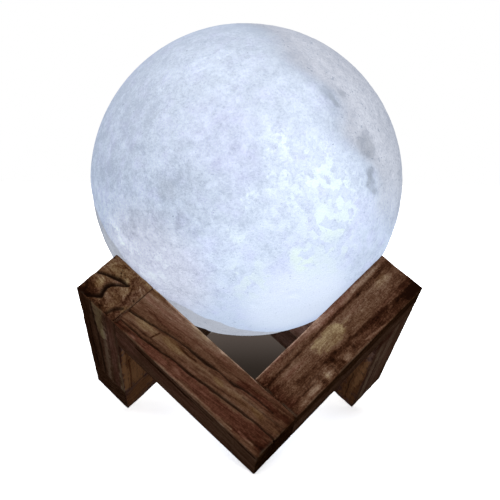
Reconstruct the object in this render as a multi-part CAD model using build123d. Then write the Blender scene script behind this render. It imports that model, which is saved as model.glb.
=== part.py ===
from build123d import *
import os
from math import cos, radians, sin, sqrt

# Salt ball lamp on a zigzag ring of six square wooden bars.
# Millimetres, +Z up, origin on the table under the middle of the ring, front at -Y.
# The ring is the six outer edges of a cube that is seen along its diagonal, so it stands on three corners.

# Stand
BAR_SECTION = 24.0
BAR_LENGTH = 85.2
BAR_EASE = 0.5  # radius sanded on every edge of a bar
FOOT_FLAT_DEPTH = 0.6  # taken off the tip that each foot stands on
DOWEL_DIAMETER = 6.0
DOWEL_LENGTH = 22.0
DOWEL_SPACING = 10.0
DOWEL_GLUE_GAP = 0.1
DOWEL_END_ROOM = 0.5

# Salt ball
GLOBE_DIAMETER = 150.0
GLOBE_REST_GAP = 0.3  # ball to the three faces it lies on
BORE_ROOM = 1.7  # housing to the bore's wall, which the spring clips bridge
BORE_EDGE_CHAMFER = 0.6
MOUTH_GAP = 0.3  # cap to the mouth it sits in
SEAT_GAP = 0.15  # cap to the shoulder above it
DOME_ROOM = 2.0  # end of the bore to the top of the diffuser

# Light unit: cap
CAP_LAP = 1.0  # how far the cap's edge reaches over the shoulder
CAP_RIM = 2.0
CAP_WALL = 2.0
RECESS_INSET = 0.5  # housing's inner wall to the edge of the cap's recess
RIB_WALL = 1.2

# Light unit: housing
HOUSING_DIAMETER = 30.6
HOUSING_WALL = 1.4
BOSS_DIAMETER = 4.6
BOSS_SINK = 0.2  # how far a boss merges into the housing's wall
BOSS_COUNT = 3
BOSS_START_ANGLE = 30.0
LEDGE_WIDTH = 1.6
LEDGE_THICKNESS = 1.6

# Light unit: boards
BOARD_THICKNESS = 1.2
BOARD_GAP = 0.3  # a board's edge to the wall around it, and its holes to the bosses in them
BOARD_ROOM = 5.2  # cap's inner face to the control board
CHIP_WIDTH = 3.2
CHIP_DEPTH = 2.4
CHIP_HEIGHT = 0.9
CHIP_ANGLE = 180.0
COIL_DIAMETER = 3.0
COIL_HEIGHT = 1.8
COIL_ANGLE = 0.0
CAPACITOR_WIDTH = 2.0
CAPACITOR_DEPTH = 1.2
CAPACITOR_ANGLES = (60.0, 240.0, 300.0)
LED_BOARD_THICKNESS = 1.2
LED_SIZE = 2.8
LED_HEIGHT = 0.8
LED_RING_DIAMETER = 15.0
LED_RING_COUNT = 6
LED_RING_START_ANGLE = 30.0
LED_SCREW_INSET = 3.4  # housing's inner wall to a screw's axis

# Light unit: diffuser
DIFFUSER_RIM = 0.8
DIFFUSER_RISE = 3.0
DIFFUSER_WALL = 1.2
DIFFUSER_SKIRT = 1.2

# Light unit: battery
CELL_DIAMETER = 14.2
CELL_LENGTH = 24.0
CELL_FIT = 0.2
HOLDER_WALL = 0.8
HOLDER_HEIGHT = 16.0
HOLDER_SLOT = 5.0
TAB_THICKNESS = 0.3
TAB_WIDTH = 5.0
CELL_TOP_ROOM = 0.5

# Light unit: charging inlet, switch, indicator
INLET_WIDTH = 9.0
INLET_HEIGHT = 3.2
INLET_WALL = 0.3
INLET_Y = -5.4
INLET_RECESS = 0.8
INLET_GAP = 0.2
TONGUE_WIDTH = 6.7
TONGUE_THICKNESS = 0.7
SWITCH_SIZE = 6.0
SWITCH_HEIGHT = 3.0
BUTTON_Y = 6.2
BUTTON_DIAMETER = 7.0
BUTTON_FLANGE_DIAMETER = 9.0
BUTTON_FLANGE_THICKNESS = 0.8
BUTTON_GAP = 0.3
BUTTON_TRAVEL = 0.8
PLUNGER_DIAMETER = 3.0
PLUNGER_GAP = 0.1
INDICATOR_X = -8.4
INDICATOR_Y = -3.4
INDICATOR_DIAMETER = 2.0
INDICATOR_GAP = 0.1

# Light unit: fasteners and grips
SCREW_DIAMETER = 2.0
SCREW_HEAD_DIAMETER = 3.6
SCREW_HEAD_HEIGHT = 1.2
SCREW_LENGTH = 7.0
SCREW_SLOT_WIDTH = 0.5
SCREW_SLOT_DEPTH = 0.5
SCREW_HEAD_GAP = 0.2
SCREW_HOLE_GAP = 0.2
SCREW_THREAD_GAP = 0.05
SCREW_END_ROOM = 1.0
LED_SCREW_LENGTH = 3.6
CLIP_WIDTH = 5.0
CLIP_THICKNESS = 0.4
CLIP_FOOT = 5.0
CLIP_BOW = 16.0
CLIP_COUNT = 3
CLIP_START_ANGLE = 90.0
CLIP_FOOT_START = 8.0
CLIP_BORE_GAP = 0.3
CLIP_SEAT_ROOM = 1.2  # flat on the housing beyond each end of a clip
RIVET_DIAMETER = 1.6
RIVET_HEAD_DIAMETER = 2.6
RIVET_HEAD_HEIGHT = 0.4

# Leads from the control board to the LED board
LEAD_DIAMETER = 1.1
LEAD_GAP = 0.15  # lead to the ledge that it passes
LEAD_ANGLES = (75.0, 105.0)

# Ring of bars: the cube's edge runs along one bar and across the end of the next
CUBE_EDGE = BAR_LENGTH + BAR_SECTION
EDGE_RISE = sqrt(1 / 3)  # how far up one step along a cube edge goes
EDGE_REACH = sqrt(2 / 3)  # how far outwards it goes
RING_RADIUS = CUBE_EDGE * EDGE_REACH
LOW_CORNER_Z = BAR_SECTION * EDGE_RISE - FOOT_FLAT_DEPTH
HIGH_CORNER_Z = LOW_CORNER_Z + CUBE_EDGE * EDGE_RISE


def globe_centre_height():
    """Height of the ball's centre when it lies on three bars.

    The ball lies in the ring as in the corner of a box: on the upper faces of the three bars that
    fall from the high corners, which are square to each other. Each face is a plane with a cube edge
    as its normal, and the centre is a ball's radius and the rest gap above it.
    """
    normal = cube_edge(30)
    face_point = ring_corner(210, HIGH_CORNER_Z) + normal * BAR_SECTION
    return (GLOBE_DIAMETER / 2 + GLOBE_REST_GAP + face_point.dot(normal)) / normal.Z


def cube_edge(azimuth):
    """Unit vector along the cube edge that rises towards this azimuth."""
    turn = radians(azimuth)
    return Vector(EDGE_REACH * cos(turn), EDGE_REACH * sin(turn), EDGE_RISE)


def ring_corner(azimuth, height):
    """Outer corner of the ring."""
    turn = radians(azimuth)
    return Vector(RING_RADIUS * cos(turn), RING_RADIUS * sin(turn), height)


class Bar:
    """A bar from its through corner: which way it runs, and the two ways its section reaches."""

    def __init__(self, azimuth, rising):
        self.corner = ring_corner(azimuth, LOW_CORNER_Z if rising else HIGH_CORNER_Z)
        if rising:
            self.along = cube_edge(azimuth - 120)
            self.inward = cube_edge(azimuth + 120)
            self.across = cube_edge(azimuth) * -1
        else:
            self.along = cube_edge(azimuth + 60) * -1
            self.inward = cube_edge(azimuth + 180)
            self.across = cube_edge(azimuth - 60) * -1

    def point(self, along, inward, across):
        """Point at these distances from the bar's corner."""
        return self.corner + self.along * along + self.inward * inward + self.across * across


BAR_NAMES = (
    "front_left_bar",
    "left_rear_bar",
    "rear_left_bar",
    "rear_right_bar",
    "right_rear_bar",
    "front_right_bar",
)
BARS = [Bar(270 - 60 * place, rising=place % 2 == 0) for place in range(len(BAR_NAMES))]

# Widths of the light unit, all worked out from the housing
HOUSING_INNER = HOUSING_DIAMETER - 2 * HOUSING_WALL
BORE_DIAMETER = HOUSING_DIAMETER + 2 * BORE_ROOM
CAP_DIAMETER = BORE_DIAMETER + 2 * CAP_LAP
BOSS_CIRCLE_DIAMETER = HOUSING_INNER + 2 * BOSS_SINK - BOSS_DIAMETER
LED_SCREW_SPACING = HOUSING_INNER - 2 * LED_SCREW_INSET
LEAD_RADIUS = HOUSING_INNER / 2 - LEDGE_WIDTH - LEAD_GAP - LEAD_DIAMETER / 2

# Heights of the light unit, all above the ball's lowest point
GLOBE_RADIUS = GLOBE_DIAMETER / 2
GLOBE_CENTRE_Z = globe_centre_height()
GLOBE_BOTTOM_Z = GLOBE_CENTRE_Z - GLOBE_RADIUS
CAP_RIM_Z = GLOBE_CENTRE_Z - sqrt(GLOBE_RADIUS**2 - (CAP_DIAMETER / 2) ** 2)
CAP_TOP_Z = CAP_RIM_Z + CAP_RIM
SHOULDER_Z = CAP_TOP_Z + SEAT_GAP
BOARD_Z = CAP_TOP_Z + BOARD_ROOM
BOARD_TOP_Z = BOARD_Z + BOARD_THICKNESS
CELL_Z = BOARD_TOP_Z + TAB_THICKNESS
CELL_TOP_Z = CELL_Z + CELL_LENGTH
LEDGE_TOP_Z = CELL_TOP_Z + TAB_THICKNESS + CELL_TOP_ROOM + LEDGE_THICKNESS
LED_BOARD_TOP_Z = LEDGE_TOP_Z + LED_BOARD_THICKNESS
HOUSING_TOP_Z = LED_BOARD_TOP_Z + DIFFUSER_SKIRT
DIFFUSER_TOP_Z = HOUSING_TOP_Z + DIFFUSER_RIM + DIFFUSER_RISE
BORE_TOP_Z = DIFFUSER_TOP_Z + DOME_ROOM


def polar(radius, angle):
    """Point on a circle round the unit's axis, as (x, y)."""
    turn = radians(angle)
    return radius * cos(turn), radius * sin(turn)


def ring_angles(count, start):
    """Evenly spaced angles round the axis."""
    return [start + 360 / count * place for place in range(count)]


BOSS_ANGLES = ring_angles(BOSS_COUNT, BOSS_START_ANGLE)
BOSS_PLACES = [polar(BOSS_CIRCLE_DIAMETER / 2, angle) for angle in BOSS_ANGLES]
LED_SCREW_PLACES = [(-LED_SCREW_SPACING / 2, 0), (LED_SCREW_SPACING / 2, 0)]


def disc(diameter, bottom, top, place=(0, 0)):
    """Upright cylinder between two heights."""
    cylinder = Cylinder(diameter / 2, top - bottom, align=(Align.CENTER, Align.CENTER, Align.MIN))
    return Pos(place[0], place[1], bottom) * cylinder


def tube(outer, inner, bottom, top, place=(0, 0)):
    """Upright ring between two heights."""
    return disc(outer, bottom, top, place) - disc(inner, bottom, top, place)


def block(size_x, size_y, bottom, top, place=(0, 0)):
    """Upright box between two heights."""
    box = Box(size_x, size_y, top - bottom, align=(Align.CENTER, Align.CENTER, Align.MIN))
    return Pos(place[0], place[1], bottom) * box


def globe_ball(inset=0.0):
    """Ball on the globe's centre, smaller by the inset."""
    return Pos(0, 0, GLOBE_CENTRE_Z) * Sphere(GLOBE_RADIUS - inset)


def screw(head_bottom, length, place):
    """Round-headed screw pointing up, with a slot in its head."""
    shank_bottom = head_bottom + SCREW_HEAD_HEIGHT
    body = disc(SCREW_HEAD_DIAMETER, head_bottom, shank_bottom, place)
    body += disc(SCREW_DIAMETER, shank_bottom, shank_bottom + length, place)
    slot_top = head_bottom + SCREW_SLOT_DEPTH
    return body - block(SCREW_HEAD_DIAMETER, SCREW_SLOT_WIDTH, head_bottom, slot_top, place)


def dowel_lines():
    """Middle and direction of each dowel: two at every joint, along the bar that butts."""
    lines = []
    for bar in BARS:
        for side in (-1, 1):
            middle = bar.point(BAR_LENGTH, BAR_SECTION / 2, BAR_SECTION / 2 + side * DOWEL_SPACING / 2)
            lines.append((middle, bar.along))
    return lines


def dowel(middle, along, diameter, length):
    """Round peg centred on a joint's face."""
    return Plane(origin=middle, z_dir=along) * Cylinder(diameter / 2, length)


def stand_bar(bar):
    """Square bar with eased edges, blind dowel holes, and a flat where its tip is a foot."""
    middle = bar.point(BAR_LENGTH / 2, BAR_SECTION / 2, BAR_SECTION / 2)
    blank = Box(BAR_LENGTH, BAR_SECTION, BAR_SECTION)
    blank = fillet(blank.edges(), BAR_EASE)
    body = Plane(origin=middle, x_dir=bar.along, z_dir=bar.across) * blank
    for centre, along in dowel_lines():
        body -= dowel(centre, along, DOWEL_DIAMETER + 2 * DOWEL_GLUE_GAP, DOWEL_LENGTH + 2 * DOWEL_END_ROOM)
    floor = block(3 * RING_RADIUS, 3 * RING_RADIUS, -BAR_SECTION, 0)
    return body - floor


def corner_dowels():
    """All dowels as separate solids in one group."""
    return [dowel(middle, along, DOWEL_DIAMETER, DOWEL_LENGTH) for middle, along in dowel_lines()]


def salt_globe():
    """Ball with a stepped bore from below: a mouth for the cap, a shoulder and a narrower hole."""
    mouth = CAP_DIAMETER + 2 * MOUTH_GAP
    body = globe_ball()
    body -= disc(mouth, GLOBE_BOTTOM_Z - CAP_RIM, SHOULDER_Z)
    body -= disc(BORE_DIAMETER, GLOBE_BOTTOM_Z, BORE_TOP_Z)
    rim = body.edges().filter_by(GeomType.CIRCLE).sort_by(Axis.Z)[0]
    return chamfer(rim, BORE_EDGE_CHAMFER)


def inlet_slot(gap):
    """Upright rounded slot round the charging inlet, from below the cap to the control board."""
    outline = Pos(0, INLET_Y) * SlotOverall(INLET_WIDTH + 2 * gap, INLET_HEIGHT + 2 * gap)
    return Pos(0, 0, GLOBE_BOTTOM_Z - CAP_RIM) * extrude(outline, BOARD_Z - GLOBE_BOTTOM_Z + CAP_RIM)


def unit_cap():
    """Domed cap, flush with the ball, with a rib ring that carries the control board."""
    body = globe_ball() & disc(CAP_DIAMETER, GLOBE_BOTTOM_Z - CAP_RIM, CAP_TOP_Z)
    body -= globe_ball(CAP_WALL) & disc(HOUSING_INNER - 2 * RECESS_INSET, GLOBE_BOTTOM_Z, CAP_TOP_Z)
    rib_outer = HOUSING_INNER - 2 * BOARD_GAP
    body += tube(rib_outer, rib_outer - 2 * RIB_WALL, CAP_TOP_Z - CAP_WALL, BOARD_Z)
    for place in BOSS_PLACES:
        body -= disc(BOSS_DIAMETER + 2 * BOARD_GAP, CAP_TOP_Z, BOARD_Z, place)
        body += disc(SCREW_HEAD_DIAMETER + 2 * RIB_WALL, CAP_TOP_Z - CAP_WALL, CAP_TOP_Z, place)
        body -= disc(SCREW_DIAMETER + 2 * SCREW_HOLE_GAP, GLOBE_BOTTOM_Z, CAP_TOP_Z, place)
        head_room = screw_head_z() + SCREW_HEAD_HEIGHT
        body -= disc(SCREW_HEAD_DIAMETER + 2 * SCREW_HEAD_GAP, GLOBE_BOTTOM_Z, head_room, place)
    body -= inlet_slot(INLET_GAP)
    body -= disc(BUTTON_DIAMETER + 2 * BUTTON_GAP, GLOBE_BOTTOM_Z - CAP_RIM, CAP_TOP_Z, (0, BUTTON_Y))
    pipe_hole = INDICATOR_DIAMETER + 2 * INDICATOR_GAP
    return body - disc(pipe_hole, GLOBE_BOTTOM_Z - CAP_RIM, CAP_TOP_Z, (INDICATOR_X, INDICATOR_Y))


def screw_head_z():
    """Height of the cap screws' heads, sunk just under the cap's outer face."""
    edge_radius = (BOSS_CIRCLE_DIAMETER + SCREW_HEAD_DIAMETER) / 2
    return GLOBE_CENTRE_Z - sqrt(GLOBE_RADIUS**2 - edge_radius**2) + SCREW_HEAD_GAP


def cap_screws():
    """Screws through the cap into the housing's bosses."""
    return [screw(screw_head_z(), SCREW_LENGTH, place) for place in BOSS_PLACES]


def clip_seat(angle):
    """Flat cut on the housing that a spring clip lies on."""
    flat_radius = clip_seat_radius()
    depth = HOUSING_DIAMETER / 2
    cut_bottom = CAP_TOP_Z + CLIP_FOOT_START - CLIP_SEAT_ROOM
    cut = block(2 * depth, CLIP_WIDTH, cut_bottom, clip_top_z() + CLIP_SEAT_ROOM)
    return Rot(0, 0, angle) * Pos(flat_radius + depth, 0, 0) * cut


def clip_seat_radius():
    """Where a clip's flat back lies: the housing's radius less the sagitta of the clip's width."""
    return sqrt((HOUSING_DIAMETER / 2) ** 2 - (CLIP_WIDTH / 2) ** 2)


def clip_top_z():
    """Upper end of a spring clip."""
    return CAP_TOP_Z + CLIP_FOOT_START + CLIP_FOOT + CLIP_BOW


def unit_housing():
    """Sleeve with three bosses for the cap screws and a ledge for the LED board."""
    body = tube(HOUSING_DIAMETER, HOUSING_INNER, CAP_TOP_Z, HOUSING_TOP_Z)
    ledge_inner = HOUSING_INNER - 2 * LEDGE_WIDTH
    body += tube(HOUSING_DIAMETER, ledge_inner, LEDGE_TOP_Z - LEDGE_THICKNESS, LEDGE_TOP_Z)
    pilot = SCREW_DIAMETER + 2 * SCREW_THREAD_GAP
    screw_top = screw_head_z() + SCREW_HEAD_HEIGHT + SCREW_LENGTH
    for place in BOSS_PLACES:
        body += disc(BOSS_DIAMETER, CAP_TOP_Z, LEDGE_TOP_Z, place)
        body -= disc(pilot, CAP_TOP_Z, screw_top + SCREW_END_ROOM, place)
    for place in LED_SCREW_PLACES:
        boss_bottom = LEDGE_TOP_Z - LED_SCREW_LENGTH - RIB_WALL
        body += disc(BOSS_DIAMETER, boss_bottom, LEDGE_TOP_Z, place)
        web_length = HOUSING_DIAMETER / 2 - HOUSING_WALL / 2 - abs(place[0])
        web_x = place[0] * (1 + web_length / 2 / abs(place[0]))
        body += block(web_length, BOSS_DIAMETER, boss_bottom, LEDGE_TOP_Z, (web_x, 0))
        body -= disc(pilot, LEDGE_TOP_Z - LED_SCREW_LENGTH, LEDGE_TOP_Z, place)
    for angle in ring_angles(CLIP_COUNT, CLIP_START_ANGLE):
        body -= clip_seat(angle)
        body -= rivet_pin(angle, RIVET_DIAMETER, HOUSING_INNER / 2 - HOUSING_WALL)
    return body


def rivet_pin(angle, diameter, inner_radius, length=None):
    """Radial pin from an inner radius, out to the clip's outer face unless it is given a length."""
    length = length or clip_seat_radius() + CLIP_THICKNESS - inner_radius
    height = CAP_TOP_Z + CLIP_FOOT_START + CLIP_FOOT / 2
    pin = Cylinder(diameter / 2, length, align=(Align.CENTER, Align.CENTER, Align.MIN))
    return Rot(0, 0, angle) * Pos(inner_radius, 0, height) * Rot(0, 90, 0) * pin


def spring_clip(angle):
    """Leaf spring: a flat foot on the housing, then a bow that reaches out to the bore's wall."""
    back = clip_seat_radius()
    front = back + CLIP_THICKNESS
    foot_z = CAP_TOP_Z + CLIP_FOOT_START
    bow_z = foot_z + CLIP_FOOT
    crest = BORE_DIAMETER / 2 - CLIP_BORE_GAP
    crest_z = bow_z + CLIP_BOW / 2
    foot = Polyline((back, bow_z), (back, foot_z), (front, foot_z), (front, bow_z))
    outer = ThreePointArc((front, bow_z), (crest, crest_z), (front, clip_top_z()))
    tip = Line((front, clip_top_z()), (back, clip_top_z()))
    inner = ThreePointArc((back, clip_top_z()), (crest - CLIP_THICKNESS, crest_z), (back, bow_z))
    face = make_face(Wire([*foot.edges(), *outer.edges(), *tip.edges(), *inner.edges()]))
    strip = extrude(Plane.XZ * face, CLIP_WIDTH / 2, both=True)
    hole = rivet_pin(0, RIVET_DIAMETER, back - CLIP_THICKNESS)
    return Rot(0, 0, angle) * (strip - hole)


def spring_clips():
    """Spring clips round the housing, as separate solids."""
    return [spring_clip(angle) for angle in ring_angles(CLIP_COUNT, CLIP_START_ANGLE)]


def clip_rivets():
    """A rivet through each clip's foot, headed outside."""
    rivets = []
    for angle in ring_angles(CLIP_COUNT, CLIP_START_ANGLE):
        shank = rivet_pin(angle, RIVET_DIAMETER, HOUSING_INNER / 2)
        head = rivet_pin(angle, RIVET_HEAD_DIAMETER, clip_seat_radius() + CLIP_THICKNESS, RIVET_HEAD_HEIGHT)
        rivets.append(shank + head)
    return rivets


def control_board():
    """Round board over the cap, with clearance for the bosses."""
    body = disc(HOUSING_INNER - 2 * BOARD_GAP, BOARD_Z, BOARD_TOP_Z)
    for place in BOSS_PLACES:
        body -= disc(BOSS_DIAMETER + 2 * BOARD_GAP, BOARD_Z, BOARD_TOP_Z, place)
    return body


def board_components():
    """On top of the control board, round the battery holder: a chip, a coil and three capacitors."""
    radius = (HOUSING_INNER + holder_diameter()) / 4
    chip = block(CHIP_DEPTH, CHIP_WIDTH, BOARD_TOP_Z, BOARD_TOP_Z + CHIP_HEIGHT, (radius, 0))
    coil = disc(COIL_DIAMETER, BOARD_TOP_Z, BOARD_TOP_Z + COIL_HEIGHT, (radius, 0))
    capacitor = block(CAPACITOR_DEPTH, CAPACITOR_WIDTH, BOARD_TOP_Z, BOARD_TOP_Z + CHIP_HEIGHT, (radius, 0))
    return [
        Rot(0, 0, CHIP_ANGLE) * chip,
        Rot(0, 0, COIL_ANGLE) * coil,
        *[Rot(0, 0, angle) * capacitor for angle in CAPACITOR_ANGLES],
    ]


def holder_diameter():
    """Outer diameter of the battery holder."""
    return CELL_DIAMETER + 2 * (CELL_FIT + HOLDER_WALL)


def charging_inlet():
    """Upright metal sleeve with a tongue inside, open downwards."""
    bottom = GLOBE_CENTRE_Z - sqrt(GLOBE_RADIUS**2 - INLET_Y**2) + INLET_RECESS
    outer = Pos(0, INLET_Y, bottom) * extrude(SlotOverall(INLET_WIDTH, INLET_HEIGHT), BOARD_Z - bottom)
    hollow = SlotOverall(INLET_WIDTH - 2 * INLET_WALL, INLET_HEIGHT - 2 * INLET_WALL)
    body = outer - Pos(0, INLET_Y, bottom) * extrude(hollow, BOARD_Z - bottom - INLET_WALL)
    return body + block(TONGUE_WIDTH, TONGUE_THICKNESS, bottom + INLET_RECESS, BOARD_Z, (0, INLET_Y))


def switch_body():
    """Square switch under the control board, over the push button."""
    body = block(SWITCH_SIZE, SWITCH_SIZE, BOARD_Z - SWITCH_HEIGHT, BOARD_Z, (0, BUTTON_Y))
    well = BOARD_Z - SWITCH_HEIGHT + 2 * BUTTON_TRAVEL
    return body - disc(PLUNGER_DIAMETER + 2 * PLUNGER_GAP, BOARD_Z - SWITCH_HEIGHT, well, (0, BUTTON_Y))


def push_button():
    """Button through the cap, level with its dome, with a flange that keeps it in."""
    flange_z = button_flange_z()
    shaft = disc(BUTTON_DIAMETER, GLOBE_BOTTOM_Z - CAP_RIM, flange_z, (0, BUTTON_Y)) & globe_ball()
    return shaft + disc(BUTTON_FLANGE_DIAMETER, flange_z, flange_z + BUTTON_FLANGE_THICKNESS, (0, BUTTON_Y))


def button_flange_z():
    """Underside of the button's flange, which rests on the thickest part of the cap round its hole."""
    near = BUTTON_Y + BUTTON_FLANGE_DIAMETER / 2
    return GLOBE_CENTRE_Z - sqrt((GLOBE_RADIUS - CAP_WALL) ** 2 - near**2) + SEAT_GAP


def switch_plunger():
    """Stem on the button's flange that reaches into the switch."""
    bottom = button_flange_z() + BUTTON_FLANGE_THICKNESS
    return disc(PLUNGER_DIAMETER, bottom, BOARD_Z - SWITCH_HEIGHT + BUTTON_TRAVEL / 2, (0, BUTTON_Y))


def indicator_pipe():
    """Clear rod that takes the charge indicator's light through the cap."""
    place = (INDICATOR_X, INDICATOR_Y)
    rod = disc(INDICATOR_DIAMETER, GLOBE_BOTTOM_Z - CAP_RIM, BOARD_Z - SEAT_GAP, place)
    return rod & globe_ball()


def battery_cell():
    """Upright round cell."""
    return fillet(disc(CELL_DIAMETER, CELL_Z, CELL_TOP_Z).edges(), CELL_FIT)


def battery_holder():
    """Split sleeve that stands on the control board and grips the cell."""
    inner = CELL_DIAMETER + 2 * CELL_FIT
    body = tube(holder_diameter(), inner, BOARD_TOP_Z, BOARD_TOP_Z + HOLDER_HEIGHT)
    slot = block(holder_diameter(), HOLDER_SLOT, BOARD_TOP_Z + HOLDER_WALL, BOARD_TOP_Z + HOLDER_HEIGHT)
    return body - Rot(0, 0, 90) * Pos(holder_diameter() / 2, 0, 0) * slot


def battery_tabs():
    """Nickel tabs on the cell's two ends."""
    length = CELL_DIAMETER - 2 * CELL_FIT - TAB_WIDTH / 2
    lower = block(length, TAB_WIDTH, BOARD_TOP_Z, CELL_Z)
    upper = block(length, TAB_WIDTH, CELL_TOP_Z, CELL_TOP_Z + TAB_THICKNESS)
    return [lower, upper]


def led_board():
    """Aluminium-backed disc on the housing's ledge."""
    body = disc(HOUSING_INNER - 2 * BOARD_GAP, LEDGE_TOP_Z, LED_BOARD_TOP_Z)
    for place in LED_SCREW_PLACES:
        body -= disc(SCREW_DIAMETER + 2 * SCREW_HOLE_GAP, LEDGE_TOP_Z, LED_BOARD_TOP_Z, place)
    return body


def led_board_screws():
    """Screws that hold the LED board down, heads up."""
    screws = []
    for place in LED_SCREW_PLACES:
        flipped = screw(-SCREW_HEAD_HEIGHT, LED_SCREW_LENGTH, (0, 0))
        screws.append(Pos(place[0], place[1], LED_BOARD_TOP_Z) * Rot(180, 0, 0) * flipped)
    return screws


def led_chips():
    """One chip in the middle and a ring of them round it."""
    ring = ring_angles(LED_RING_COUNT, LED_RING_START_ANGLE)
    places = [(0, 0)] + [polar(LED_RING_DIAMETER / 2, angle) for angle in ring]
    chip_top = LED_BOARD_TOP_Z + LED_HEIGHT
    return [block(LED_SIZE, LED_SIZE, LED_BOARD_TOP_Z, chip_top, place) for place in places]


def diffuser_dome():
    """Opal dome on the housing's top edge, with a skirt inside it that ends above the LED board."""
    half = HOUSING_DIAMETER / 2
    radius = (half**2 + DIFFUSER_RISE**2) / (2 * DIFFUSER_RISE)
    ball_place = Pos(0, 0, DIFFUSER_TOP_Z - radius)
    skirt_outer = HOUSING_INNER - 2 * BOARD_GAP
    body = disc(HOUSING_DIAMETER, HOUSING_TOP_Z, DIFFUSER_TOP_Z)
    body += disc(skirt_outer, LED_BOARD_TOP_Z + SEAT_GAP, HOUSING_TOP_Z)
    body &= ball_place * Sphere(radius)
    hollow = disc(skirt_outer - 2 * DIFFUSER_WALL, LED_BOARD_TOP_Z, DIFFUSER_TOP_Z)
    return body - (hollow & ball_place * Sphere(radius - DIFFUSER_WALL))


def led_leads():
    """Two straight leads from the control board to the LED board, along the housing's wall."""
    places = [polar(LEAD_RADIUS, angle) for angle in LEAD_ANGLES]
    return [disc(LEAD_DIAMETER, BOARD_TOP_Z, LEDGE_TOP_Z, place) for place in places]


def save(name, shape):
    """Write one sub-part, a single shape or a list of separate ones."""
    shapes = shape if isinstance(shape, list) else [shape]
    solids = [solid for one in shapes for solid in one.solids()]
    export_step(Compound(children=solids), f"parts/{name}.step")


os.makedirs("parts", exist_ok=True)
for name, bar in zip(BAR_NAMES, BARS):
    save(name, stand_bar(bar))
for piece in (
    corner_dowels,
    salt_globe,
    unit_cap,
    cap_screws,
    unit_housing,
    spring_clips,
    clip_rivets,
    control_board,
    board_components,
    charging_inlet,
    switch_body,
    switch_plunger,
    push_button,
    indicator_pipe,
    battery_cell,
    battery_holder,
    battery_tabs,
    led_board,
    led_board_screws,
    led_chips,
    led_leads,
    diffuser_dome,
):
    save(piece.__name__, piece())
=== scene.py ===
from collections import namedtuple
from math import cos, pi, radians, sin, sqrt

import bpy
import numpy as np
from mathutils import Matrix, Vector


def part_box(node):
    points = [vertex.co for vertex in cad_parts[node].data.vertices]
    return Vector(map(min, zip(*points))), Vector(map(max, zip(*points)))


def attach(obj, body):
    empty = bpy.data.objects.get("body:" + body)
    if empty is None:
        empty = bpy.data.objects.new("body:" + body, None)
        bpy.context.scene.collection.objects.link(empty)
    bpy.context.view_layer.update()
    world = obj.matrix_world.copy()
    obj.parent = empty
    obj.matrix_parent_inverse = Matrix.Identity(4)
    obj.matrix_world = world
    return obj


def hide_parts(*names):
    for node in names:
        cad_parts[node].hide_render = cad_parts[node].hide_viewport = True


# Looks of the salt ball lamp. Shapes are worked out in millimetres, in the lamp's own frame.
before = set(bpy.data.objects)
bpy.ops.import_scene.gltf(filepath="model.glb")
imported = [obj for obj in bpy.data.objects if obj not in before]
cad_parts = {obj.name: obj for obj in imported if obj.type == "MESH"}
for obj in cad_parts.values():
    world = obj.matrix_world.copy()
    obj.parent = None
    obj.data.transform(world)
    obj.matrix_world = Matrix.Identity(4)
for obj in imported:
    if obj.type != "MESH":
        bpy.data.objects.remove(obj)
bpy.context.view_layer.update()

MM = 0.001

# Ring of bars, as the model has it
BAR_SECTION = 24.0
BAR_LENGTH = 85.2
FOOT_FLAT_DEPTH = 0.6
EDGE_RISE = sqrt(1 / 3)
EDGE_REACH = sqrt(2 / 3)
CUBE_EDGE = BAR_LENGTH + BAR_SECTION
RING_RADIUS = CUBE_EDGE * EDGE_REACH
LOW_CORNER_Z = BAR_SECTION * EDGE_RISE - FOOT_FLAT_DEPTH
HIGH_CORNER_Z = LOW_CORNER_Z + CUBE_EDGE * EDGE_RISE

# Bar surface
BAR_STEP = 0.42
BAR_EASE = 0.52
WELD = 1e-4
GRAIN_RELIEF = 0.07
EDGE_WEAR = 0.18
EDGE_WEAR_REACH = 1.2
FULL_DARK_DEPTH = 1.7
LINE_RAGGED = 0.16
LINE_SWELL = 0.35
LINE_FADE = 1.5
CRACK_WALL = 1.3
TONE_BLUR = 0.22
YEAR_RING = 3.4

# Salt ball
GLOBE_RADIUS = 75.0
GLOBE_CENTRE = np.array([0, 0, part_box("salt_globe")[1].z / MM - GLOBE_RADIUS])
BORE_RADIUS = 17.0
MOUTH_RADIUS = 18.3
MOUTH_CHAMFER = 0.6
SHOULDER_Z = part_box("unit_housing")[0].z / MM + 0.15
BORE_TOP_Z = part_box("diffuser_dome")[1].z / MM + 2.0
GLOBE_AROUND = 432
GLOBE_DOWN = 200
SKIN_RISE = 0.25
SLOW_RELIEF = 0.30
FACET_RELIEF = 0.20
STEP_RELIEF = 0.35
PIT_RELIEF = 0.5
MOUTH_FADE = 5.0
BORE_STEP = 2.5
SPOT_RAGGED = 0.3

# Zones of the ball: a zone is where a direction from the centre, times the normal, passes the offset
CLOUD_NORMAL = (0.817, 0.312, 0.485)
CLOUD_OFFSET = 0.31
CLOUD_WAVE = 0.05
CLOUD_WAVE_Z = 0.50
CLOUD_WAVE_LENGTH = 0.44
CHIP_NORMAL = (-0.457, 0.544, -0.704)
CHIP_OFFSET = 0.39
CHIP_DEPTH = 0.7
CHIP_BAY = (-0.55, -0.60, -0.57)
CHIP_BAY_DEPTH = 0.045
CHIP_BAY_REACH = 0.45
GLOW_NORMAL = (0.42, -0.42, -0.80)

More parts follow.
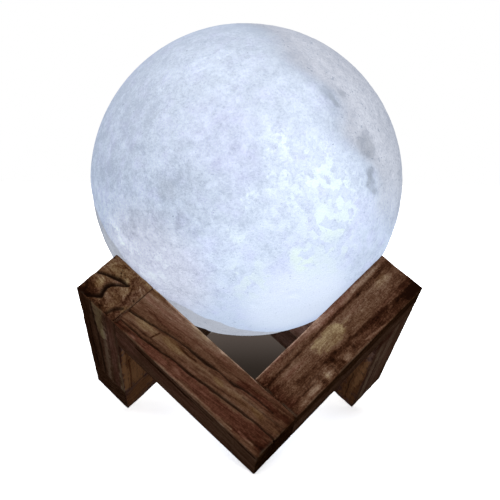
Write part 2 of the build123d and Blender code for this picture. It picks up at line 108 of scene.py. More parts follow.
# Places on the ball that are brighter, darker or bluer: the direction from its centre, the reach in mm, and the
# tone. A dark spot whose tone is below 0 is pale, without the clear crystals of a bright spot.
Spot = namedtuple("Spot", "direction reach tone")
BRIGHT_SPOTS = [
    Spot((0.105, -0.956, 0.274), 5, 0.2), Spot((0.06, -0.97, 0.22), 3, 0.16), Spot((0.47, -0.882, -0.017), 6, 0.24),
    Spot((0.5, -0.85, -0.16), 6, 0.2), Spot((0.355, -0.916, -0.184), 6, 0.22), Spot((0.34, -0.935, 0.09), 9, 0.12),
    Spot((0.2, -0.975, 0.05), 11, 0.1), Spot((0.251, -0.875, -0.415), 6, 0.16),
    Spot((-0.043, -0.997, -0.07), 4.5, 0.18), Spot((-0.122, -0.956, -0.266), 5, 0.14),
    Spot((-0.05, -0.85, -0.52), 11, 0.12), Spot((0.36, -0.93, -0.05), 24, 0.1), Spot((0.42, -0.83, -0.36), 15, 0.1),
    Spot((-0.8, -0.52, -0.31), 4, 0.45), Spot((-0.76, -0.56, -0.33), 3, 0.3), Spot((-0.22, -0.72, 0.66), 14, 0.18),
    Spot((-0.62, -0.67, -0.41), 13, 0.1), Spot((-0.84, -0.5, -0.21), 9, 0.08), Spot((-0.95, -0.3, 0.0), 10, 0.1),
]
DARK_SPOTS = [
    Spot((-0.499, -0.867, -0.024), 5, 0.16), Spot((-0.718, -0.643, -0.268), 6, 0.12),
    Spot((-0.66, -0.66, 0.35), 12, 0.12), Spot((-0.82, -0.56, 0.06), 9, 0.12), Spot((-0.36, -0.92, -0.2), 7, 0.1),
    Spot((0.0, -0.35, 0.93), 10, 0.14), Spot((0.93, -0.36, 0.05), 8, 0.16), Spot((0.91, -0.38, -0.18), 8, 0.14),
    Spot((0.87, -0.33, 0.36), 8, 0.1), Spot((0.26, -0.65, 0.71), 6, 0.16), Spot((0.637, -0.736, 0.23), 6.0, 0.6),
    Spot((0.65, -0.742, 0.17), 2.4, 0.3), Spot((0.664, -0.743, 0.075), 3.0, 0.6),
    Spot((0.675, -0.737, 0.02), 3.2, 0.62), Spot((0.594, -0.802, 0.062), 8, 0.2),
    Spot((0.694, -0.719, -0.03), 2.6, 0.5), Spot((0.43, -0.752, 0.5), 1.5, 0.85),
    Spot((0.458, -0.757, 0.467), 1.5, 0.85), Spot((0.509, -0.684, 0.522), 2.0, 0.6),
    Spot((-0.775, -0.632, 0.022), 17, 0.06), Spot((-0.58, -0.81, 0.0), 20, 0.13),
    Spot((-0.54, -0.782, -0.312), 17, 0.11), Spot((-0.6, -0.62, -0.5), 12, -0.07),
    Spot((0.2, -0.63, -0.75), 26, -0.2), Spot((0.42, -0.755, 0.5), 7, 0.14), Spot((-0.2, -0.97, 0.0), 22, 0.12),
    Spot((-0.38, -0.6, 0.7), 16, -0.1), Spot((0.8, -0.55, -0.25), 12, 0.16), Spot((0.66, -0.6, -0.42), 10, 0.16),
    Spot((0.46, -0.66, -0.6), 18, -0.1), Spot((-0.24, -0.52, -0.82), 16, -0.1), Spot((-0.38, -0.92, -0.08), 16, 0.1),
    Spot((0.4, -0.745, 0.535), 3.2, 0.25),
]
LILAC_SPOTS = [
    Spot((0.139, -0.87, -0.472), 7, 1.0), Spot((0.165, -0.79, -0.59), 6, 0.8), Spot((0.185, -0.721, -0.668), 8, 0.6),
    Spot((-0.369, -0.812, -0.452), 9, 0.7), Spot((-0.62, -0.67, -0.41), 12, 0.8), Spot((-0.2, -0.93, 0.3), 16, 0.6),
    Spot((-0.1, -0.98, 0.1), 10, 0.6), Spot((0.55, -0.75, -0.36), 8, 0.6), Spot((0.62, -0.77, -0.14), 8, 0.7),
]

LATTICE = 64


def soft_noise(points, grain, seed):
    """Smooth random value from -1 to 1 at each point.

    Random numbers sit on a lattice whose cells have the grain's size along each axis. Inside a cell the
    eight corners are blended, along each axis with the ease 3t^2 - 2t^3.
    """
    table = np.random.default_rng(seed).uniform(-1, 1, (LATTICE,) * 3)
    scaled = points / np.array(grain, float) + LATTICE * 10
    cell = np.floor(scaled).astype(int)
    part = scaled - cell
    ease = part * part * (3 - 2 * part)
    value = np.zeros(len(points))
    for corner in np.ndindex(2, 2, 2):
        share = np.prod(np.where(corner, ease, 1 - ease), axis=1)
        spot = (cell + corner) % LATTICE
        value += share * table[spot[:, 0], spot[:, 1], spot[:, 2]]
    return value


def layered_noise(points, grain, seed, layers=3):
    """Sum of soft noises, each half as strong and twice as fine as the one before."""
    value = 0
    for layer in range(layers):
        value = value + soft_noise(points, np.array(grain, float) / 2**layer, seed + layer) / 2**layer
    return value


def smooth(value, low, high):
    """Ease from 0 at low to 1 at high: 3t^2 - 2t^3."""
    t = np.clip((value - low) / (high - low), 0, 1)
    return t * t * (3 - 2 * t)


def piece_mesh(name, points, faces, values=None):
    """Blender object from points in millimetres, quads or triangles, and values that the finish reads."""
    mesh = bpy.data.meshes.new(name)
    mesh.from_pydata((points * MM).tolist(), [], faces)
    for label, value in (values or {}).items():
        mesh.attributes.new(label, "FLOAT", "POINT").data.foreach_set("value", value.astype(np.float32))
    mesh.shade_smooth()
    made = bpy.data.objects.new(name, mesh)
    bpy.context.scene.collection.objects.link(made)
    return made


# Shader maths


class Value:
    """A shader socket that can be added, multiplied and so on, with one Math node for each step."""

    def __init__(self, nodes, socket):
        self.nodes = nodes
        self.socket = socket

    def math(self, operation, *inputs):
        return self.nodes.node("ShaderNodeMath", {"operation": operation}, dict(enumerate(inputs)))

    def __add__(self, other):
        return self.math("ADD", self, other)

    def __radd__(self, other):
        return self.math("ADD", other, self)

    def __sub__(self, other):
        return self.math("SUBTRACT", self, other)

    def __rsub__(self, other):
        return self.math("SUBTRACT", other, self)

    def __mul__(self, other):
        return self.math("MULTIPLY", self, other)

    def __rmul__(self, other):
        return self.math("MULTIPLY", other, self)

    def __truediv__(self, other):
        return self.math("DIVIDE", self, other)

    def __pow__(self, other):
        return self.math("POWER", self, other)

    def smooth(self, low, high):
        """Ease from 0 at low to 1 at high."""
        settings = {"interpolation_type": "SMOOTHSTEP"}
        return self.nodes.node("ShaderNodeMapRange", settings, {"Value": self, "From Min": low, "From Max": high})

    def minimum(self, other):
        return self.math("MINIMUM", self, other)

    def cosine(self):
        return self.math("COSINE", self)

    def absolute(self):
        return self.math("ABSOLUTE", self)

    def fraction(self):
        return self.math("FRACT", self)


class Nodes:
    """Nodes of a material or of the room, made in plain steps."""

    def __init__(self, tree):
        self.tree = tree

    def node(self, kind, settings=None, sockets=None, output=0):
        """New node: its settings first, then the values or links of its sockets."""
        made = self.tree.nodes.new(kind)
        for name, value in (settings or {}).items():
            if name == "stops":
                self.set_stops(made.color_ramp, value)
            else:
                setattr(made, name, value)
        for name, value in (sockets or {}).items():
            self.feed(made.inputs[name], value)
        return Value(self, made.outputs[output])

    def feed(self, socket, value):
        """Link a value to a socket, or set the socket to a plain number or colour."""
        if isinstance(value, Value):
            self.tree.links.new(value.socket, socket)
        else:
            socket.default_value = value

    def set_stops(self, ramp, stops):
        """Stops of a colour ramp, as (place, colour) pairs."""
        while len(ramp.elements) < len(stops):
            ramp.elements.new(0.5)
        for element, (place, colour) in zip(ramp.elements, stops):
            element.position = place
            element.color = (*colour, 1)

    def coordinates(self, axes=np.eye(3), centre=(0, 0, 0)):
        """The lamp's coordinates in millimetres from a centre, along the given axes."""
        turn = Matrix(axes.tolist())
        shift = -(axes @ np.array(centre, float))
        return self.node(
            "ShaderNodeMapping",
            {"vector_type": "POINT"},
            {
                "Vector": self.node("ShaderNodeTexCoord", output="Object"),
                "Scale": (1 / MM,) * 3,
                "Rotation": turn.to_euler("XYZ"),
                "Location": shift.tolist(),
            },
        )

    def stretch(self, place, grain):
        """Coordinates divided by a grain size along each axis."""
        return self.vector("DIVIDE", place, tuple(grain))

    def vector(self, operation, first, second, output=0, third=(0, 0, 0)):
        sockets = {0: first, 1: second, 2: third}
        return self.node("ShaderNodeVectorMath", {"operation": operation}, sockets, output)

    def along(self, place, direction):
        """How far a place lies along a direction."""
        return self.vector("DOT_PRODUCT", place, tuple(direction), "Value")

    def parts(self, place):
        """The three coordinates of a place."""
        split = self.node("ShaderNodeSeparateXYZ", None, {0: place}).socket.node
        return [Value(self, split.outputs[axis]) for axis in range(3)]

    def noise(self, place, grain=1.0, detail=2.0, roughness=0.5, warp=0.0, output=0):
        """Cloudy value from 0 to 1 whose patches have the grain's size."""
        size = {"Vector": place, "Scale": 1 / grain, "Detail": detail, "Roughness": roughness, "Distortion": warp}
        return self.node("ShaderNodeTexNoise", None, size, output)

    def cells(self, place, grain, output, feature="F1", randomness=1.0):
        """Distance or colour of random cells whose width is the grain."""
        sockets = {"Vector": place, "Scale": 1 / grain, "Randomness": randomness}
        return self.node("ShaderNodeTexVoronoi", {"feature": feature}, sockets, output)

    def read(self, label):
        """A value stored on the mesh."""
        return self.node("ShaderNodeAttribute", {"attribute_name": label}, None, "Fac")

    def blend(self, share, low, high, kind="MIX"):
        """Colour from low to high by a share."""
        settings = {"data_type": "RGBA", "blend_type": kind}
        return self.node("ShaderNodeMix", settings, {0: share, 6: low, 7: high}, 2)

    def ramp(self, share, stops):
        """Colour by a share from 0 to 1, from (place, colour) stops."""
        return self.node("ShaderNodeValToRGB", {"stops": stops}, {0: share})

    def bump(self, height, depth):
        """Surface direction from a height from 0 to 1 that stands for a depth in millimetres."""
        return self.node("ShaderNodeBump", None, {"Height": height, "Distance": depth * MM, "Strength": 1.0})

    def seen_directly(self):
        """1 where a ray comes from the camera, a mirror or a glass, and 0 elsewhere."""
        path = self.node("ShaderNodeLightPath").socket.node
        rays = [Value(self, path.outputs[name]) for name in ("Is Camera Ray", "Is Glossy Ray", "Is Transmission Ray")]
        return (rays[0] + rays[1] + rays[2]).minimum(1)


class Finish(Nodes):
    """A material while it is made: its nodes and its shader, with the shader's constant sockets."""

    def __init__(self, name, constants=None):
        self.material = bpy.data.materials.new(name)
        self.material.use_nodes = True
        super().__init__(self.material.node_tree)
        self.shader = self.tree.nodes["Principled BSDF"]
        for socket, value in (constants or {}).items():
            self.shader.inputs[socket].default_value = value

    def set(self, **values):
        """Feed the shader: set(base_color=..., roughness=...)."""
        names = {name.lower().replace(" ", "_"): name for name in self.shader.inputs.keys()}
        for name, value in values.items():
            self.feed(self.shader.inputs[names[name]], value)
        return self.material


def colour(red, green, blue):
    """Colour with its alpha, as a socket takes it."""
    return (red, green, blue, 1.0)


# Stand


def cube_edge(azimuth):
    """Unit vector along the cube edge that rises towards this azimuth."""
    turn = radians(azimuth)
    return np.array([EDGE_REACH * cos(turn), EDGE_REACH * sin(turn), EDGE_RISE])


class Bar:
    """A bar's through corner and its own axes: along it, then inward and across its section."""

    def __init__(self, azimuth, rising):
        turn = radians(azimuth)
        height = LOW_CORNER_Z if rising else HIGH_CORNER_Z
        self.corner = np.array([RING_RADIUS * cos(turn), RING_RADIUS * sin(turn), height])
        if rising:
            self.axes = np.array([cube_edge(azimuth - 120), cube_edge(azimuth + 120), -cube_edge(azimuth)])
        else:
            self.axes = np.array([-cube_edge(azimuth + 60), cube_edge(azimuth + 180), -cube_edge(azimuth - 60)])

    def to_lamp(self, points):
        """From the bar's own coordinates to the lamp's."""
        return self.corner + points @ self.axes


def cut_positions(length, step, ease):
    """Grid lines from 0 to a length: even steps, with closer lines where the edges are eased."""
    ends = ease * np.array([0, 1 / 3, 2 / 3])
    even = np.linspace(ease, length - ease, round((length - 2 * ease) / step) + 1)
    return np.concatenate([ends, even, length - ends[::-1]])


def box_grid(size, step, ease):
    """Closed quad grid over a box with eased edges: its points, the way out at each, and its quads.

    Each face is a grid over the other two sides' cut positions. A point is the nearest point of the box
    shrunk by the ease, moved out by the ease towards its place on the sharp box.
    """
    size = np.array(size)
    cuts = [cut_positions(length, step, ease) for length in size]
    sheets, quads, count = [], [], 0
    for axis in range(3):
        right, up = (axis + 1) % 3, (axis + 2) % 3
        for far in (False, True):
            u, v = np.meshgrid(cuts[right], cuts[up], indexing="ij")
            sheet = np.empty(u.shape + (3,))
            sheet[..., axis] = size[axis] if far else 0
            sheet[..., right] = u
            sheet[..., up] = v
            place = np.arange(u.size).reshape(u.shape) + count
            ring = np.stack([place[:-1, :-1], place[1:, :-1], place[1:, 1:], place[:-1, 1:]], -1).reshape(-1, 4)
            quads.append(ring if far else ring[:, ::-1])
            sheets.append(sheet.reshape(-1, 3))
            count += u.size
    sharp = np.concatenate(sheets)
    keys = np.round(sharp / WELD).astype(int)
    _, first, welded = np.unique(keys, axis=0, return_index=True, return_inverse=True)
    sharp = sharp[first]
    inner = np.clip(sharp, ease, size - ease)
    out = sharp - inner
    out /= np.linalg.norm(out, axis=1, keepdims=True)
    return inner + ease * out, out, welded.ravel()[np.concatenate(quads)]


# A bar's faces: the axis that it is square to, which way it looks along that axis, and its own two axes
FACES = {
    "front": (2, -1, (0, 1)),
    "back": (2, 1, (0, 1)),
    "outer": (1, -1, (0, 2)),
    "upper": (1, 1, (0, 2)),
    "end": (0, -1, (1, 2)),
}

# Marks on a face, placed in its own two axes. A line's points are (x, y, half width). A crack is cut in. A
# streak and a patch only change the tone and the hue: -1 is red and 1 yellow, and well past these lie a deep
# red-orange and a straw tint, painted warm light on inner faces that only the ball's cool light reaches. A
# patch's edge is the share of its reach that it fades over.
Crack = namedtuple("Crack", "line depth")
Streak = namedtuple("Streak", "line tone hue", defaults=(0,))
Patch = namedtuple("Patch", "centre reach tone edge hue", defaults=(0.6, 0))


def line_distance(spots, line):
    """Distance of each spot from an open line of straight runs, as a share of the line's half width there."""
    nearest = np.full(len(spots), np.inf)
    line = np.array(line, float)
    for start, end in zip(line[:-1], line[1:]):
        run = end[:2] - start[:2]
        share = np.clip((spots - start[:2]) @ run / (run @ run), 0, 1)
        width = start[2] + share * (end[2] - start[2])
        nearest = np.minimum(nearest, np.linalg.norm(spots - start[:2] - share[:, None] * run, axis=1) / width)
    return nearest


def face_view(face, points, out):
    """Where each point lies on a face, and how squarely it looks out of that face."""
    axis, side, own = FACES[face]
    return points[:, own], np.clip(side * out[:, axis], 0, 1) ** 2


def bar_surface(marks, seed, figure):
    """Points, quads and tones of one weathered bar.

    Every point moves in from the plain bar by the sum of its grain relief, its worn edges and its
    cracks. A crack is a groove whose depth falls evenly from its line to its width.
    """
    size = (BAR_LENGTH, BAR_SECTION, BAR_SECTION)
    points, out, quads = box_grid(size, BAR_STEP, BAR_EASE)
    ragged = LINE_RAGGED * np.stack([layered_noise(points, (3, 3, 3), seed + 20 + axis) for axis in range(3)], 1)
    swell = 1 + LINE_SWELL * soft_noise(points, (7, 7, 7), seed + 31)
    blur = TONE_BLUR * layered_noise(points, (3, 2, 2), seed + 40, 4)
    sunk = np.zeros(len(points))
    crack = np.zeros(len(points))
    tone = np.zeros(len(points))
    hue = np.zeros(len(points))
    for face, face_marks in marks.items():
        view, square = face_view(face, points + ragged, out)
        for mark in face_marks:
            if isinstance(mark, Crack):
                away = line_distance(view, mark.line) / swell
                sunk = np.maximum(sunk, square * mark.depth * np.clip(1 - away / CRACK_WALL, 0, 1))
                shade = sqrt(min(1, mark.depth / FULL_DARK_DEPTH))
                crack = np.maximum(crack, square * shade * (1 - smooth(away, 0.3, LINE_FADE)))
                continue
            if isinstance(mark, Patch):
                away = np.linalg.norm((view - mark.centre) / mark.reach, axis=1)
                share = square * (1 - smooth(away + blur, 1 - mark.edge, 1 + mark.edge / 2))
            else:
                away = line_distance(view, mark.line) + 2 * blur
                share = square * (1 - smooth(away, 0.4, LINE_FADE))
            tone += mark.tone * share
            hue += mark.hue * share
    sides = [np.minimum(points[:, axis], size[axis] - points[:, axis]) for axis in range(3)]
    to_edge = np.sort(np.stack(sides, 1), axis=1)[:, 1]
    long_relief = layered_noise(points, (26, 1.9, 1.9), seed, 4)
    round_relief = layered_noise(points, (3, 1.6, 1.6), seed + 5)
    sunk += GRAIN_RELIEF * np.clip(0.7 + long_relief * (1 - figure) + round_relief * figure, 0, None)
    worn = np.clip(layered_noise(points, (9, 4, 4), seed + 9) + 0.15, 0, None)
    wear = 1 - smooth(to_edge, 0, EDGE_WEAR_REACH)
    sunk += EDGE_WEAR * worn * wear
    values = {
        "crack": crack,
        "tone": tone,
        "hue": hue,
        "wear": wear * np.clip(worn * 1.5, 0, 1),
        "end_grain": face_view("end", points, out)[1],
    }
    return points - out * sunk[:, None], quads, values


# What the six bars show, by face. The rear bars carry a few plain checks.
PLAIN_CHECKS = {
    "front": [Crack([(12, 9, 0.1), (30, 8.2, 0.4), (47, 8.9, 0.3), (58, 8.4, 0.1)], 0.9)],
    "back": [Crack([(5, 6, 0.1), (24, 6.8, 0.35), (39, 6.1, 0.1)], 0.7)],
    "outer": [Crack([(20, 17, 0.1), (41, 16, 0.4), (66, 16.6, 0.1)], 0.9)],
    "upper": [Crack([(30, 15, 0.1), (52, 14.2, 0.35), (71, 14.8, 0.1)], 0.7)],
    "end": [Crack([(6, 24.5, 0.4), (8, 17, 0.3), (11, 11, 0.1)], 1.1)],
}


def with_checks(marks):
    """Marks by face, after the plain checks."""
    return {face: PLAIN_CHECKS[face] + marks.get(face, []) for face in FACES}


MARKS = {
    "front_left_bar": {
        "front": [
            Crack([(8.2, 18.5, 0.2), (18.1, 18.4, 0.4), (24.1, 17.5, 0.45), (28, 16.4, 0.75), (32, 15.9, 0.3),
                (38, 15.9, 0.4), (42.9, 14.8, 0.7), (49.9, 14.6, 0.5), (57.8, 14, 0.4), (64.8, 12.8, 0.4),
                (68.8, 11.9, 0.2), (74.7, 10.7, 0.35), (86, 8.6, 0.45)], 1.3),
            Crack([(-1, 10.5, 0.4), (10.2, 10.5, 0.4), (20.1, 9.4, 0.45), (34, 8.1, 0.5), (43.9, 6.6, 0.45),
                (53.8, 6.1, 0.4), (61.8, 4.9, 0.4), (71.7, 3.8, 0.4), (84, 3.5, 0.25)], 1.2),
            Crack([(-1, 16.6, 0.3), (6.2, 16, 0.3), (14.1, 15.3, 0.3), (22.1, 14.7, 0.15)], 0.5),
            Streak([(46.9, 12.4, 0.3), (50.9, 12.1, 0.5), (56.8, 11.9, 0.3)], -0.42),
            Streak([(31, 13.3, 0.3), (35, 13.1, 0.4), (39.9, 13, 0.3)], -0.26),
            Streak([(70.8, 14.6, 0.3), (74.7, 14.8, 0.45), (78.7, 14.7, 0.3)], -0.3),
            Streak([(67.4, 10.5, 0.35), (68.2, 8.9, 0.45), (68.6, 6.5, 0.35)], -0.46),
            Crack([(59.8, 6.4, 0.15), (69.7, 5.9, 0.3), (81.7, 5.5, 0.15)], 0.3),
            Crack([(67.7, 2.2, 0.15), (76.7, 1.8, 0.35), (85, 1.3, 0.3)], 0.6),
            Crack([(3.2, 3.4, 0.1), (8.2, 3.2, 0.25), (12.1, 3.1, 0.1)], 0.3),
            Streak([(-2, 13.6, 1.6), (14.1, 13.6, 2.2), (36, 12.1, 1.9), (57.8, 10.5, 2.6), (75.7, 8.1, 2.8),
                (86, 6.9, 2)], 0.14, 0.4),
            Patch((74.7, 8.7), (7.5, 2.4), 0.2, 0.6, 0.5), Patch((58.8, 10.5), (6, 2.2), 0.12, 0.6, 0.7),
            # The second patch darkens the bar's low end, where it meets its neighbour at the bottom of the front V:
            # painted shade in the joint.
            Patch((13.2, 13.6), (4, 1.6), 0.0, 0.6, 0.6), Patch((2.3, 12.6), (9, 17), -0.18, 0.7),
            Patch((34, 12.5), (3.4, 1.4), 0.1, 0.6, 0.6), Patch((81.7, 22.8), (5, 2.4), 0.06, 0.6, 0.6),
            Patch((53.9, 23), (5, 1.4), 0.06, 0.6, 0.5),
            Streak([(43.9, 21.4, 2.2), (63.8, 19.9, 3.4), (86, 17.4, 4.4)], 0.13),
            Streak([(40, 23.4, 0.6), (51.9, 22.8, 0.8), (63.8, 23, 0.6)], 0.22),
            Streak([(65.8, 21.9, 0.6), (75.8, 21.4, 0.8), (85, 20.8, 0.6)], 0.18),
            Streak([(2.3, 19.9, 1.4), (14.2, 19.9, 1.4), (27.1, 18.5, 1.2)], -0.16, -0.5),
            Patch((12.2, 21.5), (16, 5), -0.1, 0.8, -0.4),
            Streak([(-2, 6.2, 3.4), (22.1, 5.2, 3.2), (44.9, 3.6, 2.6), (65.7, 2.1, 2), (86, 1.5, 1.4)], -0.17, -0.9),
            Streak([(5.2, 2.7, 0.4), (9.2, 2.6, 0.5), (13.1, 2.6, 0.3)], 0.4),
            Streak([(16.1, 1.5, 0.3), (35.9, 1, 0.5), (59.8, 0.2, 0.4)], 0.38), Patch((50.3, 3.5), (3.2, 0.8), 0.42),
            Patch((74.2, 1.3), (1.8, 0.7), 0.45), Streak([(85.4, -1, 1.2), (85.4, 9.4, 0.9)], -0.3),
            Streak([(85.4, 9.4, 0.9), (85.4, 24, 0.8)], -0.08), Patch((17.1, 13.2), (14, 2.4), -0.06, 0.7),
            Streak([(-0.4, 0, 1.8), (-0.4, 24, 1.4)], -0.3),
            # A pale line along the edge that faces the ball: edge wear, with a painted highlight of the ball's light
            # on it.
            Streak([(22, 23.9, 0.5), (62, 23.8, 0.6), (86, 23.9, 0.45)], 0.75, -0.2),
            Patch((52, 19), (38, 6), 0.07, 0.7, -0.4),
            Streak([(56, 2.8, 1.1), (66, 1.9, 1.4), (77, 1.4, 1.1)], 0.26, -0.3),
        ],
        "back": [Crack([(8, 15, 0.1), (35, 14, 0.4), (62, 14.6, 0.1)], 0.8)],
        "outer": [
            Crack([(-1, 2.7, 0.3), (9.7, 2.8, 0.4), (17.6, 3, 0.2)], 0.8),
            Crack([(25.5, 6.1, 0.2), (43.3, 5.9, 0.45), (57.2, 5.8, 0.4), (71.1, 5.2, 0.2)], 0.9),
            Patch((44.3, 11.7), (60, 14), 0.1, 0.8, -0.9),
            Streak([(1.8, 2.9, 0.8), (8.7, 2.8, 1.2), (16.6, 2.8, 0.8)], -0.5),
            Streak([(25.5, 5.9, 0.8), (39.3, 5.8, 1.1), (55.2, 5.8, 1.2), (71.1, 5.2, 0.9)], -0.5, 0.3),
            Streak([(19.5, 0.2, 0.8), (37.3, 0.3, 1.0), (59.1, 0.2, 0.8)], 0.35),
            Patch((79, 8.1), (8, 14), 0.14, 0.7, -0.5), Patch((40, 12), (60, 16), 0.0, 0.8, 0.5),
        ],
        "upper": [Crack([(20, 9, 0.1), (44, 8.3, 0.4), (70, 9.2, 0.1)], 0.8)],
        "end": [
            Crack([(9.9, -0.5, 0.4), (10.6, 4, 0.4), (9.6, 9, 0.1)], 1.4), Patch((12, 12), (22, 22), -0.55, 0.6, 1.2),
        ],
    },
    "left_rear_bar": {
        "front": [Crack([(4, 14, 0.1), (30, 13, 0.4), (58, 13.8, 0.1)], 0.9)],
        "back": [
            # This inner face lies in shade inside the arch: its broad bright patches, deep red-orange in the middle,
            # are painted light.
            Patch((54.9, 8.4), (40, 10), 0.26, 0.8, -0.7), Patch((10.6, 8.6), (16, 10), -0.1, 0.8, -0.8),
            Streak([(27, 2.7, 0.7), (36, 2.3, 0.9), (52, 1.9, 1.1), (69.7, 1.6, 1.2), (83, 1.4, 1.1)], 0.5),
            Patch((64, 8), (48, 18), 0.16, 0.8, -2.8), Patch((76, 10), (26, 12), 0.5, 0.8),
            Streak([(50, 5, 0.5), (65.8, 5.3, 0.5), (85, 4.5, 0.5)], -0.45),
        ],
        "outer": [
            Crack([(-1, 8.8, 0.3), (18.3, 8.8, 0.6), (32.2, 9.9, 0.7), (58.2, 9.8, 0.6), (85, 9.4, 0.5)], 0.8),
            Crack([(4.2, 17.5, 0.1), (28.1, 17.7, 0.3), (50.1, 16.9, 0.1)], 0.6),
            Crack([(18.3, 5, 0.1), (48.3, 4.3, 0.35), (78.4, 4.7, 0.2)], 0.6),
            Streak([(-2, 13.2, 3.6), (20.2, 12.6, 3.0), (32.2, 13.5, 1.6)], 0.62, 0.8),
            Streak([(24.2, 14.4, 1.6), (46.2, 14.1, 1.8), (84, 13, 1.8)], 0.36),
            Patch((43.1, 19.3), (50, 4), 0.16, 0.7, -0.5),
            Streak([(-2, 4.2, 4.0), (28.3, 4.3, 3.4), (85, 3.4, 3.4)], -0.2),
            Streak([(38, 24.2, 0.8), (56.1, 23.6, 1.2), (70.1, 23.3, 1.8), (86, 22.8, 1.8)], 0.55, 0.7),
            Streak([(-2, 20.6, 2.4), (86, 19, 2.4)], 0.0, -0.6),
        ],
        "upper": [Crack([(12, 6, 0.1), (40, 7, 0.4), (66, 6.2, 0.1)], 0.8)],
        "end": [
            Crack([(11, -0.6, 0.8), (12.5, 1.9, 0.7), (14.5, 5.9, 0.7), (15.8, 9.5, 0.95), (16.4, 12.8, 1.1),
                (16.9, 15.7, 0.6)], 1.6),
            Crack([(16.9, 15.7, 0.6), (13.8, 11.9, 0.75), (11.6, 9.6, 0.95), (9.7, 8.9, 1.0), (7.4, 9.5, 0.9),
                (5, 10.6, 1.0)], 1.8),
            Crack([(5, 10.6, 1.0), (2.8, 8.1, 0.9), (-0.8, 4.7, 0.8)], 1.7),
            Crack([(7.3, 21.9, 0.8), (5.6, 20.3, 1.0), (3.6, 19, 0.8), (-0.6, 18, 0.5)], 1.1),
            Crack([(-0.5, 23.6, 0.3), (4.5, 23.4, 0.4), (7.8, 23.9, 0.6), (9, 24.6, 0.5)], 1.2),
            Crack([(24.2, 0.2, 0.7), (23.8, 1, 0.5)], 1.0), Crack([(22.3, -0.2, 0.7), (22, 0.8, 0.5)], 1.0),
            Crack([(18.4, 11.9, 0.3), (18.5, 11.4, 0.3)], 0.9), Crack([(19.3, 10.5, 0.3), (19.5, 10.2, 0.25)], 0.9),
            Crack([(17.6, 10, 0.3), (17.8, 9.6, 0.3)], 0.9), Crack([(18.6, 8.9, 0.35), (18.8, 8.5, 0.3)], 0.9),
            Crack([(20.1, 8.3, 0.25), (20.2, 8, 0.25)], 0.9), Crack([(13, 22.9, 0.3), (13.3, 22.5, 0.4)], 0.9),
            Crack([(1.4, 3.4, 0.3), (3.4, 3, 0.5), (4, 2.2, 0.3)], 0.9),
            Streak([(17.3, 23.7, 0.45), (18.7, 21.1, 0.5), (19.9, 19.5, 0.35)], 0.4),
            Streak([(19, 23.5, 0.35), (20.1, 21.5, 0.4)], 0.34),
            Streak([(10.7, 18.5, 0.5), (13.9, 17.5, 0.7), (15.6, 15.9, 0.4)], 0.28),
            Streak([(10, 6.6, 0.3), (10.3, 3.8, 0.4), (10.6, 2.4, 0.3)], 0.34),
            Streak([(11.3, 6.4, 0.3), (11.6, 4.6, 0.35), (11.9, 3.2, 0.3)], 0.3),
            Patch((13.6, 15.9), (2.3, 2.2), 0.26), Patch((8.6, 5.6), (2.4, 2.2), 0.26, 0.6, 0.9),
            Patch((11, 3.8), (1.3, 2.6), 0.1), Patch((19.3, 8.8), (4, 6), 0.2, 0.6, 0.5),
            Patch((20.8, 2.8), (2.5, 2.2), 0.16), Patch((17.3, 2.4), (2.6, 2.2), 0.1),
            Patch((22.7, 20.9), (1.6, 3.4), 0.24, 0.6, 0.4), Patch((17.9, 13.1), (1.6, 1.6), 0.22),
            Patch((14.6, 11.1), (1.4, 2.2), 0.14, 0.6, -0.7),
            Streak([(18.7, 3.6, 0.7), (20.9, 5.7, 0.8), (22.3, 8.3, 0.7)], -0.3),
            Streak([(18.3, 16.7, 0.6), (20.5, 14.9, 0.8), (22.7, 15.9, 0.5)], -0.22),
            Streak([(9.8, 20.3, 0.8), (13.4, 19.2, 0.8), (17.4, 17.7, 0.5)], -0.28),
            Streak([(1.9, 14.4, 1.0), (4.4, 13, 1.0)], -0.3), Patch((0, 12.4), (2.6, 15), -0.42),
            Patch((2.4, 2.4), (6.5, 4.5), -0.55), Patch((12.4, 12.4), (20, 20), -0.06, 0.5, 0.5),
            Patch((6.9, 22.3), (2.4, 1.4), 0.18, 0.6, 0.8), Patch((3.8, 7), (2.6, 1.8), -0.24, 0.6, -0.8),
            Patch((3.5, 21.4), (4, 3.4), -0.18, 0.6, -0.4), Patch((13.4, 20.8), (6, 2.6), 0.0, 0.6, -0.6),
        ],
    },
    "front_right_bar": {
        "front": [
            Crack([(59.7, 18.6, 0.1), (71.7, 18.4, 0.25), (86, 18, 0.4)], 0.4),
            Crack([(59.7, 21.5, 0.1), (65.7, 21.3, 0.25), (71.7, 21.1, 0.1)], 0.3),
            Crack([(61.7, 6.6, 0.1), (69.6, 6.3, 0.25), (77.6, 6.4, 0.1)], 0.3),
            Crack([(66.7, 4.5, 0.1), (72.6, 4.7, 0.25), (78.6, 4.5, 0.1)], 0.3),
            Crack([(43.2, 4.9, 0.25), (44.2, 3.3, 0.35), (45.2, 1.5, 0.25)], 0.25),
            Crack([(57.9, 5.7, 0.15), (57.6, 3.3, 0.3), (58.3, 1.1, 0.15)], 0.25),
            Crack([(65.1, 5.9, 0.15), (65.7, 3.5, 0.3), (65.1, 1.1, 0.15)], 0.25),
            Streak([(-1, 19.7, 1.2), (23.9, 19.4, 0.9), (43.8, 18.9, 0.8), (86, 17.9, 1.0)], -0.26),
            Streak([(51.8, 8.7, 0.9), (59.7, 9, 1.3), (73.6, 9.4, 1.6)], -0.2), Patch((71.6, 9.6), (2.6, 1.2), -0.12),
            Streak([(-1, 4.2, 0.8), (13.7, 5, 0.9), (30, 6.7, 1.1), (41.8, 6.9, 1.3), (57.7, 6.9, 1.0)], -0.34),
            Patch((40.8, 9.3), (1.6, 1.4), -0.25), Patch((48.4, 13.8), (10.8, 4.3), 0.38, 0.3, 0.8),
            Patch((52.8, 15.4), (6.4, 2.6), 0.12, 0.4),
            Streak([(33.9, 14.8, 0.5), (36.9, 14.7, 1.0), (42.8, 14.5, 1.8)], 0.22, 0.3),
